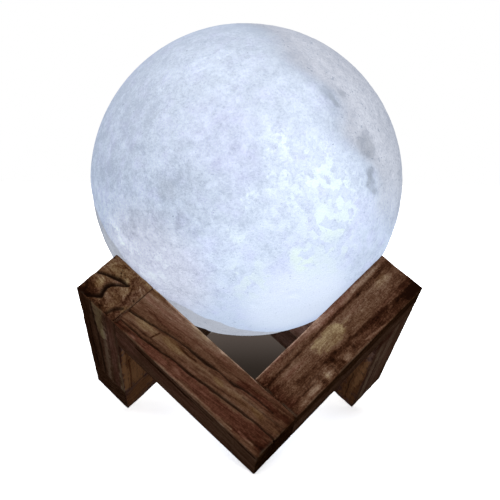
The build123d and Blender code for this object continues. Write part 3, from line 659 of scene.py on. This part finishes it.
            Patch((10.5, 15.1), (6, 2.6), 0.26, 0.6, 0.3), Patch((7, 14.7), (2.2, 1.4), 0.16),
            Patch((16, 21.8), (9.5, 1.9), 0.34, 0.6, 0.2), Patch((27.9, 21), (5, 2.0), 0.16),
            Patch((46.3, 22), (9, 2.4), 0.3, 0.6, -0.2), Patch((29.9, 14.3), (8, 3.4), 0.08),
            # The first two patches darken the lower edge at the bar's high end, where it meets the right leg: painted
            # shade in the joint.
            Patch((2, 3.8), (11, 9), -0.42, 0.9), Patch((3, 2.4), (6, 4), -0.4, 0.7, 0.3),
            Patch((16, 2.4), (28, 3.4), -0.4, 0.7, -0.2), Patch((16, 7), (22, 3), -0.08, 0.7, -0.3),
            Patch((43.8, 22.2), (44, 2.6), 0.12, 0.8, -0.5),
            Streak([(55.6, 5.7, 1.0), (53.4, 3.7, 1.2), (52.2, 1.9, 0.8)], -0.34),
            Patch((49.6, 2.7), (2.6, 1.5), 0.5), Patch((61.9, 3.3), (3.2, 3.2), 0.28),
            Streak([(62.2, 4.7, 0.6), (62.4, 3.3, 0.9), (62.5, 1.9, 0.7)], 0.18, 0.4),
            Streak([(59.9, 5.5, 0.3), (59.7, 3.3, 0.4), (60, 1.3, 0.3)], -0.22),
            Streak([(64.1, 5.5, 0.3), (64.4, 3.3, 0.4), (64.1, 1.3, 0.3)], -0.18),
            Patch((71.6, 2.7), (6.5, 1.5), 0.46), Patch((33.9, 3.3), (5, 1.4), 0.14),
            Patch((69.7, 14.2), (9, 3.2), 0.14, 0.6, -0.3), Patch((84, 10.2), (6, 16), -0.3, 0.8, -0.5),
            Streak([(21.9, 0.2, 0.4), (29.9, 1.2, 0.6), (37.9, 2.2, 0.4)], 0.5),
            # The first streak is a pale line along the edge that faces the ball: edge wear, with a painted highlight
            # of the ball's light on it.
            Streak([(44, 23.9, 0.5), (86, 23.9, 0.5)], 0.75, -0.2), Streak([(85.4, 0, 1.2), (85.4, 24, 1.0)], -0.35),
            Patch((60.8, 3.1), (2.0, 1.4), 0.3), Patch((68.1, 5.1), (2.4, 1.2), 0.34),
            Patch((78.4, 2), (3.0, 1.2), 0.4), Patch((55, 2), (2.2, 2.4), -0.24),
            Patch((64.6, 2.2), (1.6, 2.0), -0.24), Patch((74, 4.4), (2.4, 1.2), -0.24),
        ],
        "outer": [
            Crack([(6, 3, 0.1), (34, 2.4, 0.4), (60, 3.2, 0.1)], 0.9),
            Crack([(20, 13, 0.1), (50, 12.2, 0.4), (80, 13, 0.1)], 1.0), Streak([(-2, 4, 6), (86, 4, 6)], -0.3, 0.7),
        ],
        "upper": [Crack([(10, 17, 0.1), (38, 16.2, 0.4), (70, 17, 0.1)], 0.8)],
        "end": [Crack([(12, 24.4, 0.5), (13.4, 17, 0.4), (10, 11, 0.1)], 1.4)],
    },
    "right_rear_bar": with_checks(
        {
            "back": [
                # On this shaded inner face the bright deep red-orange strip is painted warm light over a paler strip
                # of the wood.
                Patch((50, 10), (50, 16), 0.1, 0.8, -0.9), Patch((34, 5), (44, 9), 0.34, 0.8, -2.8),
                Streak([(26, 3.4, 1.2), (46.6, 2.6, 1.5), (60, 2.2, 1.3), (72, 1.8, 0.9)], 0.55),
                Patch((5.2, 6.3), (8, 8), 0.1, 0.6, -0.6),
            ],
            "outer": [
                Streak([(-2, 11, 2.6), (33.3, 12.1, 2.6), (85, 10.7, 2.2)], 0.2, 0.3),
                Streak([(-2, 18.9, 2.0), (33.3, 19.5, 2.6), (85, 19.1, 2.2)], 0.3, 0.4),
                Patch((84, 20), (8, 9), -0.4, 0.6, -0.8), Patch((42, 12), (60, 16), 0.08, 0.8, -0.5),
            ],
        }
    ),
    "rear_left_bar": with_checks(
        {
            # This inner face lies in the ball's shade: its bright patches, the first deep red-orange, are painted
            # light.
            "back": [Patch((9, 12), (18, 18), 0.66, 0.8, -2.8), Patch((56, 12), (30, 14), 0.4, 0.8)],
            "end": [Patch((12, 12), (22, 22), -0.22)],
        }
    ),
    "rear_right_bar": with_checks(
        {
            # This bar lies in shade under the ball: its bright reddish patches on both faces are painted light.
            "back": [Patch((60, 12), (30, 14), 0.45, 0.8, -1.3)],
            "upper": [Patch((60, 12), (30, 14), 0.45, 0.8, -1.3)],
        }
    ),
}

# How each bar was sawn: the pith that its rings turn round, the slope of its grain, its mottled share and its tone
Cut = namedtuple("Cut", "pith slope figure tone seed")
CUTS = {
    "front_left_bar": Cut((52, 38), 0.11, 0.1, 0.0, 3),
    "left_rear_bar": Cut((-14, 6), 0.03, 0.2, 0.0, 11),
    "rear_left_bar": Cut((-20, 44), -0.04, 0.2, -0.04, 19),
    "rear_right_bar": Cut((40, -16), 0.06, 0.25, 0.02, 27),
    "right_rear_bar": Cut((-26, -18), -0.03, 0.2, 0.05, 35),
    "front_right_bar": Cut((4, -34), 0.0, 0.75, 0.02, 43),
}


def oiled_wood(name, bar, cut):
    """Dark oiled wood: year rings round the pith, long streaks and fibres, mottle, dark cracks, pale wear."""
    wood = Finish(name + "_wood", {"Specular IOR Level": 0.0})
    place = wood.coordinates(bar.axes, bar.corner)
    grain = wood.node(
        "ShaderNodeMapping",
        {"vector_type": "POINT"},
        {"Vector": place, "Rotation": (0, 0, cut.slope), "Location": (40.0 * cut.seed, 0, 0)},
    )
    _, inward, across = wood.parts(grain)
    sawn_end = wood.read("end_grain")
    drift = wood.noise(wood.stretch(grain, (60, 9, 9)), detail=2) - 0.5
    from_pith = ((inward - cut.pith[0]) ** 2 + (across - cut.pith[1]) ** 2) ** 0.5 + drift * 7
    ring = (from_pith / YEAR_RING).fraction()
    late = ring.smooth(0.55, 0.97) * (1 - ring.smooth(0.97, 1.0))
    band = wood.noise(wood.stretch(grain, (70, 6, 6)), detail=3) - 0.5
    streak = wood.noise(wood.stretch(grain, (22, 1.3, 1.3)), detail=5, roughness=0.65) - 0.5
    fibre = wood.noise(wood.stretch(grain, (5, 0.4, 0.4)), detail=3, roughness=0.7) - 0.5
    mottle = wood.noise(wood.stretch(place, (2.4, 2.0, 2.0)), detail=5, roughness=0.75, warp=0.5) - 0.5
    speck = wood.noise(place, 0.8, 3, 0.8) - 0.5
    tone = 0.45 + cut.tone + band * 0.42 + streak * (0.45 - 0.2 * cut.figure) * (1 - sawn_end * 0.7)
    tone = tone + fibre * 0.5 + speck * (0.4 + 0.6 * cut.figure + sawn_end * 0.4)
    tone = tone + mottle * (0.22 + 0.5 * cut.figure + sawn_end * 0.55) - late * 0.08 + wood.read("tone") * 0.62
    body = wood.ramp(
        tone + sawn_end * 0.07,
        [
            (0.0, (0.012, 0.004, 0.002)),
            (0.25, (0.042, 0.015, 0.007)),
            (0.45, (0.104, 0.048, 0.027)),
            (0.62, (0.168, 0.095, 0.061)),
            (0.80, (0.262, 0.174, 0.121)),
            (1.0, (0.400, 0.290, 0.212)),
        ],
    )
    drift_hue = wood.noise(wood.stretch(grain, (30, 4, 4)), detail=4, roughness=0.6) - 0.5
    hue = wood.read("hue") + drift_hue * (2.0 - sawn_end * 0.4)
    tint = wood.blend(hue.smooth(0, 1), colour(1.0, 1.0, 0.97), colour(1.0, 1.03, 0.79))
    # The straw tint past 1.2 and the deep red-orange tint past -1.6 are painted warm light, for inner faces that only
    # the ball's cool light reaches.
    tint = wood.blend(hue.smooth(1.2, 2.6), tint, colour(1.0, 0.93, 0.55))
    tint = wood.blend((0 - hue).smooth(0, 1), tint, colour(1.08, 0.88, 0.94))
    tint = wood.blend((0 - hue).smooth(1.6, 2.8), tint, colour(1.38, 0.92, 0.56))
    body = wood.blend(1.0, body, tint, "MULTIPLY")
    body = wood.blend(wood.read("wear") * 0.2, body, colour(0.30, 0.21, 0.14))
    pores = wood.cells(wood.stretch(grain, (9, 0.8, 0.8)), 1.0, "Distance").smooth(0.25, 0.05)
    body = wood.blend(pores * 0.3, body, colour(0.015, 0.007, 0.004))
    body = wood.blend(wood.read("crack"), body, colour(0.010, 0.004, 0.002))
    height = fibre * 0.35 + streak * 0.4 + mottle * (0.1 + 0.3 * cut.figure) + speck * 0.2 - pores * 0.3 - late * 0.15
    roughness = 0.68 + fibre * 0.3 + streak * 0.2 + wood.read("crack") * 0.2
    return wood.set(base_color=body, roughness=roughness, normal=wood.bump(height, 0.22))


def stand_bar(node, bar):
    """One bar of the ring, cut off flat where its tip stands on the table."""
    cut = CUTS[node]
    points, quads, values = bar_surface(MARKS[node], cut.seed, cut.figure)
    points = bar.to_lamp(points)
    points[:, 2] = np.maximum(points[:, 2], 0)
    made = piece_mesh(node + "_wood", points, quads.tolist(), values)
    made.data.materials.append(oiled_wood(node, bar, cut))
    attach(made, "stand")
    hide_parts(node)


# Ball


def globe_profile():
    """Radius and height of the ball's turned outline, from its top, round and up its stepped bore.

    The outside is an arc in even steps. It ends at the chamfer of the mouth, and the bore's walls and
    steps follow as straight runs.
    """
    rim = MOUTH_RADIUS + MOUTH_CHAMFER
    polar = np.linspace(0, pi - np.arcsin(rim / GLOBE_RADIUS), GLOBE_DOWN)
    outside = np.stack([GLOBE_RADIUS * np.sin(polar), GLOBE_RADIUS * np.cos(polar)], 1)
    edge = -sqrt(GLOBE_RADIUS**2 - MOUTH_RADIUS**2)
    shoulder = SHOULDER_Z - GLOBE_CENTRE[2]
    bore_top = BORE_TOP_Z - GLOBE_CENTRE[2]
    corners = [
        (MOUTH_RADIUS, edge + MOUTH_CHAMFER),
        (MOUTH_RADIUS, shoulder),
        (BORE_RADIUS, shoulder),
        (BORE_RADIUS, bore_top),
        (0, bore_top),
    ]
    inside = [np.array([corners[0]])]
    for start, end in zip(corners[:-1], corners[1:]):
        steps = max(2, round(np.hypot(end[0] - start[0], end[1] - start[1]) / BORE_STEP))
        inside.append(np.linspace(start, end, steps + 1)[1:])
    return outside, np.concatenate(inside)


def zone(directions, normal, offset):
    """How far each direction passes a zone's border."""
    return directions @ np.array(normal) - offset


def chip_bay(directions):
    """How far the flaked zone's border draws back round its bay, left of the front."""
    centre = np.array(CHIP_BAY) / np.linalg.norm(CHIP_BAY)
    return CHIP_BAY_DEPTH * (1 - smooth(np.linalg.norm(directions - centre, axis=1), 0, CHIP_BAY_REACH))


def globe_relief(directions):
    """How far the ball's outside lies under the turned ball, in millimetres.

    The sum of slow unevenness, crystal facets, the flaked zone below on the left, the step along the
    cloudy zone and a few pits, less an even rise, and never less than nothing.
    """
    points = directions * GLOBE_RADIUS
    low = SLOW_RELIEF * (1 + layered_noise(points, (24, 24, 24), 71, 2)) / 2
    facets = FACET_RELIEF * np.abs(layered_noise(points, (5, 5, 5), 75, 3))
    ragged = 0.035 * layered_noise(points, (7, 7, 7), 81, 3)
    chip = CHIP_DEPTH * smooth(zone(directions, CHIP_NORMAL, CHIP_OFFSET) - chip_bay(directions) + ragged, 0, 0.02)
    wave = CLOUD_WAVE * np.cos((directions[:, 2] - CLOUD_WAVE_Z) * 2 * pi / CLOUD_WAVE_LENGTH)
    cloud = STEP_RELIEF * smooth(zone(directions, CLOUD_NORMAL, CLOUD_OFFSET) - wave + ragged, -0.06, 0.10)
    pits = PIT_RELIEF * smooth(soft_noise(points, (4, 4, 4), 93), 0.62, 0.9)
    return np.clip(low + facets + chip + cloud + pits - SKIN_RISE, 0, None)


def spot_share(directions, spots, seed):
    """Sum of the spots' tones at each direction, each easing out round its ragged border."""
    ragged = SPOT_RAGGED * layered_noise(directions * GLOBE_RADIUS, (4, 4, 4), seed, 3)
    total = np.zeros(len(directions))
    for spot in spots:
        centre = np.array(spot.direction) / np.linalg.norm(spot.direction)
        away = np.linalg.norm(directions - centre, axis=1) * GLOBE_RADIUS / spot.reach
        total += spot.tone * (1 - smooth(away + ragged, 0.5, 1.4))
    return total


def salt_globe_stone():
    """The ball: its outline turned round the Z axis, with the relief taken off its outside."""
    outside, inside = globe_profile()
    profile = np.concatenate([outside[1:], inside[:-1]])
    around = np.linspace(0, 2 * pi, GLOBE_AROUND, endpoint=False)
    radius, height = profile[:, 0, None], profile[:, 1, None]
    flat = np.stack([radius * np.cos(around), radius * np.sin(around), height + 0 * around], -1)
    points = flat.reshape(-1, 3)
    rows = len(profile)
    skin = (len(outside) - 1) * GLOBE_AROUND
    directions = points[:skin] / GLOBE_RADIUS
    to_mouth = np.hypot(points[:skin, 0], points[:skin, 1]) - MOUTH_RADIUS - MOUTH_CHAMFER
    fade = np.where(points[:skin, 2] > 0, 1, smooth(to_mouth, 0, MOUTH_FADE))
    points[:skin] -= directions * (globe_relief(directions) * fade)[:, None]
    top = np.array([[0, 0, GLOBE_RADIUS - globe_relief(np.array([[0, 0, 1.0]]))[0]]])
    end = np.array([[0, 0, inside[-1][1]]])
    place = np.arange(rows * GLOBE_AROUND).reshape(rows, GLOBE_AROUND)
    ahead = np.roll(place, -1, axis=1)
    quads = np.stack([place[:-1], place[1:], ahead[1:], ahead[:-1]], -1).reshape(-1, 4).tolist()
    first, last = rows * GLOBE_AROUND, rows * GLOBE_AROUND + 1
    quads += np.stack([place[0], ahead[0], np.full(GLOBE_AROUND, first)], 1).tolist()
    quads += np.stack([ahead[-1], place[-1], np.full(GLOBE_AROUND, last)], 1).tolist()
    points = np.concatenate([points, top, end])
    all_ways = points / np.linalg.norm(points, axis=1, keepdims=True)
    values = {
        "bright": spot_share(all_ways, BRIGHT_SPOTS, 101),
        "dark": spot_share(all_ways, DARK_SPOTS, 105),
        "lilac": spot_share(all_ways, LILAC_SPOTS, 109),
    }
    made = piece_mesh("salt_globe_stone", points + GLOBE_CENTRE, quads, values)
    made.data.materials.append(rock_salt())
    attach(made, "globe")
    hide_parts("salt_globe")


def rock_salt():
    """White rock salt lit from inside: a clear lit part, a cloudy grey part, a flaked part and fine flecks."""
    salt = Finish("rock_salt", {"Specular IOR Level": 0.0, "Emission Strength": 1.0})
    place = salt.coordinates(centre=GLOBE_CENTRE)
    way = salt.node("ShaderNodeVectorMath", {"operation": "NORMALIZE"}, {0: place})
    height = salt.parts(way)[2]
    ragged = salt.noise(place, 7, 4, 0.6) - 0.5
    to_bay = salt.vector("DISTANCE", way, tuple(np.array(CHIP_BAY) / np.linalg.norm(CHIP_BAY)), "Value")
    bay = (1 - to_bay.smooth(0, CHIP_BAY_REACH)) * CHIP_BAY_DEPTH
    chip = (salt.along(way, CHIP_NORMAL) - CHIP_OFFSET - bay + ragged * 0.05).smooth(0.0, 0.012)
    wave = ((height - CLOUD_WAVE_Z) * (2 * pi / CLOUD_WAVE_LENGTH)).cosine() * CLOUD_WAVE
    past = salt.along(way, CLOUD_NORMAL) - CLOUD_OFFSET - wave + ragged * 0.06
    up = height.smooth(-0.35, 0.12)
    cloud = past.smooth(-0.03, 0.10) * up + past.smooth(0.02, 0.5) * (1 - up) * 0.8
    verge = past.smooth(-0.12, 0.0) * (1 - past.smooth(0.05, 0.20)) * height.smooth(-0.3, 0.45)
    # rim is painted shade: the glow is darkened in a band far past the cloudy zone's border, towards the ball's
    # outline on the upper right.
    rim = past.smooth(0.15, 0.46) * height.smooth(-0.45, -0.05)
    back = salt.parts(way)[1].smooth(-0.1, 0.5)
    calm = height.smooth(-0.45, -0.8) * 0.25 + height.smooth(0.45, 0.85) * 0.22
    rosy = salt.along(way, (-0.60, -0.62, -0.50)).smooth(0.88, 0.98) * 0.8
    base = salt.along(way, (0.27, -0.66, -0.70)).smooth(0.92, 0.985) * 0.75
    left = salt.parts(way)[0].smooth(0.1, -0.6)
    streaks = salt.noise(salt.node("ShaderNodeCombineXYZ", None, {0: past * 50, 1: height * 9, 2: 0}), 1, 4, 0.7) - 0.5
    clumps = salt.noise(place, 6.0, 7, 0.78, 0.3) - 0.5
    drifts = salt.noise(place, 26, 2) - 0.5
    grains = salt.noise(place, 1.1, 3, 0.8) - 0.5
    shift = salt.vector("SUBTRACT", salt.noise(place, 2.6, 4, 0.7, output=1), (0.5,) * 3)
    warped = salt.vector("MULTIPLY_ADD", shift, (3.6,) * 3, third=place)
    crystal = salt.parts(salt.cells(warped, 3.6, "Color"))[0]
    grit = salt.parts(salt.cells(warped, 1.5, "Color"))[1]
    creases = 1 - (salt.noise(salt.vector("ADD", place, (3, 44, 12)), 7, 5, 0.72) - 0.5).absolute().smooth(0.0, 0.022)
    hue = salt.noise(salt.vector("ADD", place, (40, 9, 3)), 9, 5, 0.7)
    fleck_noise = salt.noise(salt.vector("ADD", place, (5, 60, 8)), 1.9, 3, 0.6)
    flecks = fleck_noise.smooth(0.685 - cloud * 0.06, 0.745 - cloud * 0.06)
    dust = salt.noise(salt.vector("ADD", place, (71, 6, 31)), 0.9, 2, 0.6).smooth(0.66, 0.73)
    bright = salt.read("bright")
    mottle = clumps * 1.2 + grains * (0.9 + cloud * 0.9) + drifts * (0.15 + back * 0.5) + streaks * cloud * 0.8
    mottle = (mottle - creases * (0.10 + left * 0.14)) * (1 - calm)
    glow = salt.along(way, GLOW_NORMAL).smooth(-0.9, 1.05) * 0.94 + mottle + bright * 0.6 - salt.read("dark")
    glow = glow + (crystal - 0.5) * (0.13 + bright * 0.8) + (grit - 0.5) * (0.16 + bright * 0.4) - rim * 0.26 + 0.03
    lit = salt.blend(glow, colour(0.17, 0.225, 0.33), colour(0.50, 0.60, 0.775))
    lilac = salt.blend(glow, colour(0.19, 0.215, 0.37), colour(0.49, 0.55, 0.82))
    lit = salt.blend(hue.smooth(0.45, 0.72) * 0.6 + salt.read("lilac") * 0.6, lit, lilac)
    lit = salt.blend(rosy, lit, salt.blend(glow, colour(0.20, 0.22, 0.30), colour(0.54, 0.575, 0.70)))
    lit = salt.blend(base, lit, salt.blend(glow, colour(0.36, 0.43, 0.60), colour(0.67, 0.765, 0.92)))
    clear = crystal.smooth(0.35, 0.75) * (bright * 4).minimum(1) * glow.smooth(0.6, 1.1)
    lit = salt.blend(clear, lit, colour(0.60, 0.73, 0.72))
    dull = salt.blend(glow, colour(0.17, 0.205, 0.27), colour(0.39, 0.435, 0.52))
    flaked = salt.blend(glow, colour(0.17, 0.19, 0.235), colour(0.42, 0.455, 0.53))
    emission = salt.blend(cloud, salt.blend(chip, lit, flaked), dull)
    emission = salt.blend(salt.read("dark").smooth(0.15, 1.0) * 0.55, emission, colour(0.21, 0.235, 0.265))
    emission = salt.blend((verge * 0.40 + flecks * 0.5 + dust * 0.3).minimum(1), emission, colour(0.06, 0.10, 0.17))
    body = salt.blend(cloud * 0.8, colour(0.50, 0.52, 0.55), colour(0.50, 0.48, 0.50))
    body = salt.blend((clumps + grains).smooth(0.15, -0.35) * 0.4, body, colour(0.30, 0.33, 0.40))
    body = salt.blend((flecks * 0.6 + salt.read("dark") * 0.5).minimum(1), body, colour(0.22, 0.24, 0.28))
    height_map = clumps * 0.9 + grains * 0.6
    return salt.set(
        base_color=body,
        roughness=0.72 + clumps * 0.3,
        emission_color=emission,
        normal=salt.bump(height_map, 0.7),
    )


# Light unit


def moulded_plastic(name, body, gloss, glow=None):
    """Moulded plastic: an even colour with faint flow clouds and a fine spark-eroded grain."""
    constants = {"Specular IOR Level": 0.45}
    if glow:
        constants["Emission Strength"] = glow
    plastic = Finish(name, constants)
    place = plastic.coordinates()
    flow = plastic.noise(place, 9, 3, 0.5, 0.8) - 0.5
    speck = plastic.noise(place, 0.28, 2, 0.6) - 0.5
    dark = tuple(0.86 * part for part in body)
    shade = plastic.blend((flow * 0.9 + speck * 0.5 + 0.5).smooth(0, 1), colour(*dark), colour(*body))
    values = {"base_color": shade, "roughness": gloss + speck * 0.18 + flow * 0.08}
    if glow:
        warmth = (flow + 0.5).smooth(0, 1)
        values["emission_color"] = plastic.blend(warmth, colour(0.70, 0.78, 0.92), colour(0.80, 0.86, 0.95))
    return plastic.set(normal=plastic.bump(speck, 0.05), **values)


def drawn_steel(name, body, stretch):
    """Steel with the fine lines of drawing or rolling along one axis, and a few dull spots."""
    steel = Finish(name, {"Metallic": 1.0})
    place = steel.coordinates()
    lines = steel.noise(steel.stretch(place, stretch), detail=4, roughness=0.7) - 0.5
    spots = steel.noise(place, 1.6, 3, 0.6) - 0.5
    dark = tuple(0.7 * part for part in body)
    shade = steel.blend((lines + spots * 0.6 + 0.5).smooth(0.1, 0.9), colour(*dark), colour(*body))
    return steel.set(base_color=shade, roughness=0.34 + lines * 0.25 + spots * 0.2, normal=steel.bump(lines, 0.04))


def board_laminate():
    """Green circuit board: solder mask over tracks that run between tinned pads."""
    board = Finish("board_laminate", {"Specular IOR Level": 0.5})
    place = board.coordinates()
    tracks = board.cells(place, 2.4, "Distance", "DISTANCE_TO_EDGE", 0.75).smooth(0.09, 0.06)
    pads = board.cells(place, 2.4, "Distance").smooth(0.20, 0.16)
    weave = board.noise(board.stretch(place, (0.3, 0.3, 3)), detail=1) - 0.5
    shade = board.blend(tracks, colour(0.020, 0.14, 0.06), colour(0.035, 0.22, 0.09))
    shade = board.blend(pads, shade, colour(0.62, 0.62, 0.58))
    return board.set(
        base_color=shade,
        roughness=0.32 + weave * 0.2,
        metallic=pads,
        normal=board.bump(tracks * 0.6 + pads, 0.04),
    )


def pale_timber():
    """Beech dowel: pale, with short dark rays."""
    beech = Finish("dowel_wood", {"Specular IOR Level": 0.3})
    place = beech.coordinates()
    rays = beech.cells(beech.stretch(place, (0.5, 0.5, 2.2)), 1.0, "Distance").smooth(0.30, 0.10)
    grain = beech.noise(beech.stretch(place, (2, 2, 9)), detail=3)
    shade = beech.ramp(grain, [(0.3, (0.42, 0.27, 0.16)), (0.7, (0.62, 0.45, 0.29))])
    shade = beech.blend(rays * 0.5, shade, colour(0.24, 0.13, 0.07))
    return beech.set(base_color=shade, roughness=0.6 + rays * 0.2, normal=beech.bump(grain, 0.08))


def cell_sleeve():
    """Shrink sleeve on the battery cell: blue film with a pale seam line and faint wrinkles."""
    sleeve = Finish("cell_can", {"Coat Weight": 0.4, "Coat Roughness": 0.12})
    place = sleeve.coordinates()
    wrinkles = sleeve.noise(sleeve.stretch(place, (3, 3, 0.7)), detail=3)
    seam = sleeve.along(place, (1, 0, 0)).smooth(6.2, 6.7)
    shade = sleeve.blend(wrinkles, colour(0.02, 0.10, 0.20), colour(0.04, 0.17, 0.30))
    shade = sleeve.blend(seam * 0.6, shade, colour(0.35, 0.5, 0.62))
    return sleeve.set(base_color=shade, roughness=0.3 + wrinkles * 0.15, normal=sleeve.bump(wrinkles, 0.08))


def phosphor():
    """LED chip: yellow gel with a paler rim."""
    gel = Finish("led_chip", {"Coat Weight": 0.5})
    speck = gel.noise(gel.coordinates(), 0.6, 3)
    shade = gel.ramp(speck, [(0.3, (0.75, 0.52, 0.10)), (0.7, (0.90, 0.74, 0.30))])
    return gel.set(base_color=shade, roughness=0.3 + speck * 0.2, normal=gel.bump(speck, 0.03))


def dress_light_unit():
    """Give every node of the light unit, and the dowels, its own finish."""
    white = moulded_plastic("housing_plastic", (0.70, 0.70, 0.69), 0.42)
    cap = moulded_plastic("cap_plastic", (0.62, 0.65, 0.70), 0.52)
    button = moulded_plastic("button_plastic", (0.36, 0.38, 0.42), 0.45)
    black = moulded_plastic("component_black", (0.020, 0.020, 0.022), 0.40)
    clear = moulded_plastic("clear_plastic", (0.72, 0.78, 0.82), 0.12)
    opal = moulded_plastic("opal_plastic", (0.72, 0.75, 0.80), 0.30, glow=0.75)
    leads = moulded_plastic("lead_insulation", (0.42, 0.02, 0.015), 0.38)
    turned = drawn_steel("screw_steel", (0.52, 0.52, 0.53), (3, 0.12, 3))
    spring = drawn_steel("spring_steel", (0.44, 0.46, 0.49), (0.15, 0.15, 8))
    inlet = drawn_steel("inlet_steel", (0.58, 0.58, 0.60), (0.2, 0.2, 6))
    aluminium = drawn_steel("led_aluminium", (0.80, 0.80, 0.80), (6, 0.3, 6))
    dress = {
        "unit_cap": cap,
        "unit_housing": white,
        "battery_holder": white,
        "push_button": button,
        "switch_plunger": button,
        "switch_body": black,
        "board_components": black,
        "indicator_pipe": clear,
        "diffuser_dome": opal,
        "led_leads": leads,
        "cap_screws": turned,
        "clip_rivets": turned,
        "led_board_screws": turned,
        "battery_tabs": turned,
        "spring_clips": spring,
        "charging_inlet": inlet,
        "led_board": aluminium,
        "control_board": board_laminate(),
        "corner_dowels": pale_timber(),
        "battery_cell": cell_sleeve(),
        "led_chips": phosphor(),
    }
    for node, material in dress.items():
        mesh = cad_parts[node].data
        mesh.materials.clear()
        mesh.materials.append(material)


# Studio

FLOOR_REACH = 4.0
LAMP_MIDDLE = (0.0, 0.0, 0.09)
CAMERA_PLACE = (-26.602, -449.119, 134.185)
CAMERA_RIGHT = (0.9980041, -0.0623171, 0.0102176)
CAMERA_DOWN = (0.0038581, -0.1013295, -0.9948454)
CAMERA_LENS = 66.36
SENSOR = 36.0
ROOM_LIGHT = 0.4
FLOOR_FELT = 0.26
FLOOR_SEEN = 1.9
# A shadow painted on the floor behind the lamp: its colour far from and near the lamp, where it deepens, its middle,
# its stretch and where it fades out.
PAINTED_SHADOW_FAR = (0.156, 0.124, 0.106)
PAINTED_SHADOW_NEAR = (0.062, 0.047, 0.037)
PAINTED_SHADOW_DEEPENS = (110.0, 230.0)
PAINTED_SHADOW_CENTRE = (13.0, 165.0, 0.0)
PAINTED_SHADOW_STRETCH = (1.0, 2.2, 1.0)
PAINTED_SHADOW_FADE = (42.0, 61.0)
FLOOR_GLOW = 0.45
FLOOR_FADE = (150.0, 420.0)


def floor():
    """Pale floor, white far out, with a shadow painted behind the lamp: a darker floor colour where its shadow falls.

    To the lamp it is a darker floor, so that it throws little light up.
    """
    corners = np.array([(-1, -1, 0), (1, -1, 0), (1, 1, 0), (-1, 1, 0)]) * FLOOR_REACH / MM
    made = piece_mesh("floor", corners, [(0, 1, 2, 3)])
    paper = Finish("floor_paper", {"Roughness": 1.0, "Specular IOR Level": 0.0, "Emission Strength": 1.0})
    direct = paper.seen_directly()
    # The painted shadow: a darker floor colour in a stretched oval behind the lamp, deeper near it.
    from_painted_shadow = paper.stretch(paper.coordinates(centre=PAINTED_SHADOW_CENTRE), PAINTED_SHADOW_STRETCH)
    open_floor = paper.vector("LENGTH", from_painted_shadow, (0, 0, 0), "Value").smooth(*PAINTED_SHADOW_FADE)
    far = paper.vector("LENGTH", paper.coordinates(), (0, 0, 0), "Value").smooth(*FLOOR_FADE)
    away = paper.parts(paper.coordinates())[1].smooth(*PAINTED_SHADOW_DEEPENS)
    shade = paper.blend(away, colour(*PAINTED_SHADOW_NEAR), colour(*PAINTED_SHADOW_FAR))
    seen = paper.blend(open_floor, shade, colour(*(FLOOR_SEEN,) * 3))
    glow = (FLOOR_GLOW + far * (1 - FLOOR_GLOW)) * open_floor * direct
    made.data.materials.append(
        paper.set(
            base_color=paper.blend(direct, colour(*(FLOOR_FELT,) * 3), seen),
            emission_color=paper.blend(glow, colour(0, 0, 0), colour(1, 1, 1)),
        )
    )


def room():
    """White room: plain light on the lamp, and full white where it is seen."""
    world = bpy.data.worlds.new("room")
    bpy.context.scene.world = world
    world.use_nodes = True
    walls = Nodes(world.node_tree)
    shade = walls.blend(walls.seen_directly(), colour(*(ROOM_LIGHT,) * 3), colour(1, 1, 1))
    walls.feed(world.node_tree.nodes["Background"].inputs["Color"], shade)


def soft_lamp(name, place, size, power):
    """Square studio lamp that looks at the middle of the lamp's height, in metres and watts."""
    data = bpy.data.lights.new(name, "AREA")
    data.size = size
    data.energy = power
    made = bpy.data.objects.new(name, data)
    back = np.array(place, float) - np.array(LAMP_MIDDLE)
    side = np.cross((0, 0, 1), back)
    side /= np.linalg.norm(side)
    back /= np.linalg.norm(back)
    turn = Matrix(np.stack([side, np.cross(back, side), back], 1).tolist()).to_4x4()
    made.matrix_world = Matrix.Translation(place) @ turn
    bpy.context.scene.collection.objects.link(made)


def camera():
    """Camera at the photograph's place, from its own right and down directions."""
    data = bpy.data.cameras.new("camera")
    data.lens = CAMERA_LENS
    data.sensor_width = SENSOR
    made = bpy.data.objects.new("camera", data)
    right, up = np.array(CAMERA_RIGHT), -np.array(CAMERA_DOWN)
    turn = Matrix(np.stack([right, up, np.cross(right, up)], 1).tolist()).to_4x4()
    made.matrix_world = Matrix.Translation([part * MM for part in CAMERA_PLACE]) @ turn
    bpy.context.scene.collection.objects.link(made)
    bpy.context.scene.camera = made


for place, node in enumerate(CUTS):
    stand_bar(node, Bar(270 - 60 * place, rising=place % 2 == 0))
salt_globe_stone()
dress_light_unit()
floor()
room()
soft_lamp("key_lamp", place=(-0.10, -1.18, 1.02), size=0.7, power=11.3)
soft_lamp("back_lamp", place=(0.08, 1.30, 0.42), size=0.6, power=4)
camera()
bpy.context.scene.view_settings.view_transform = "Standard"
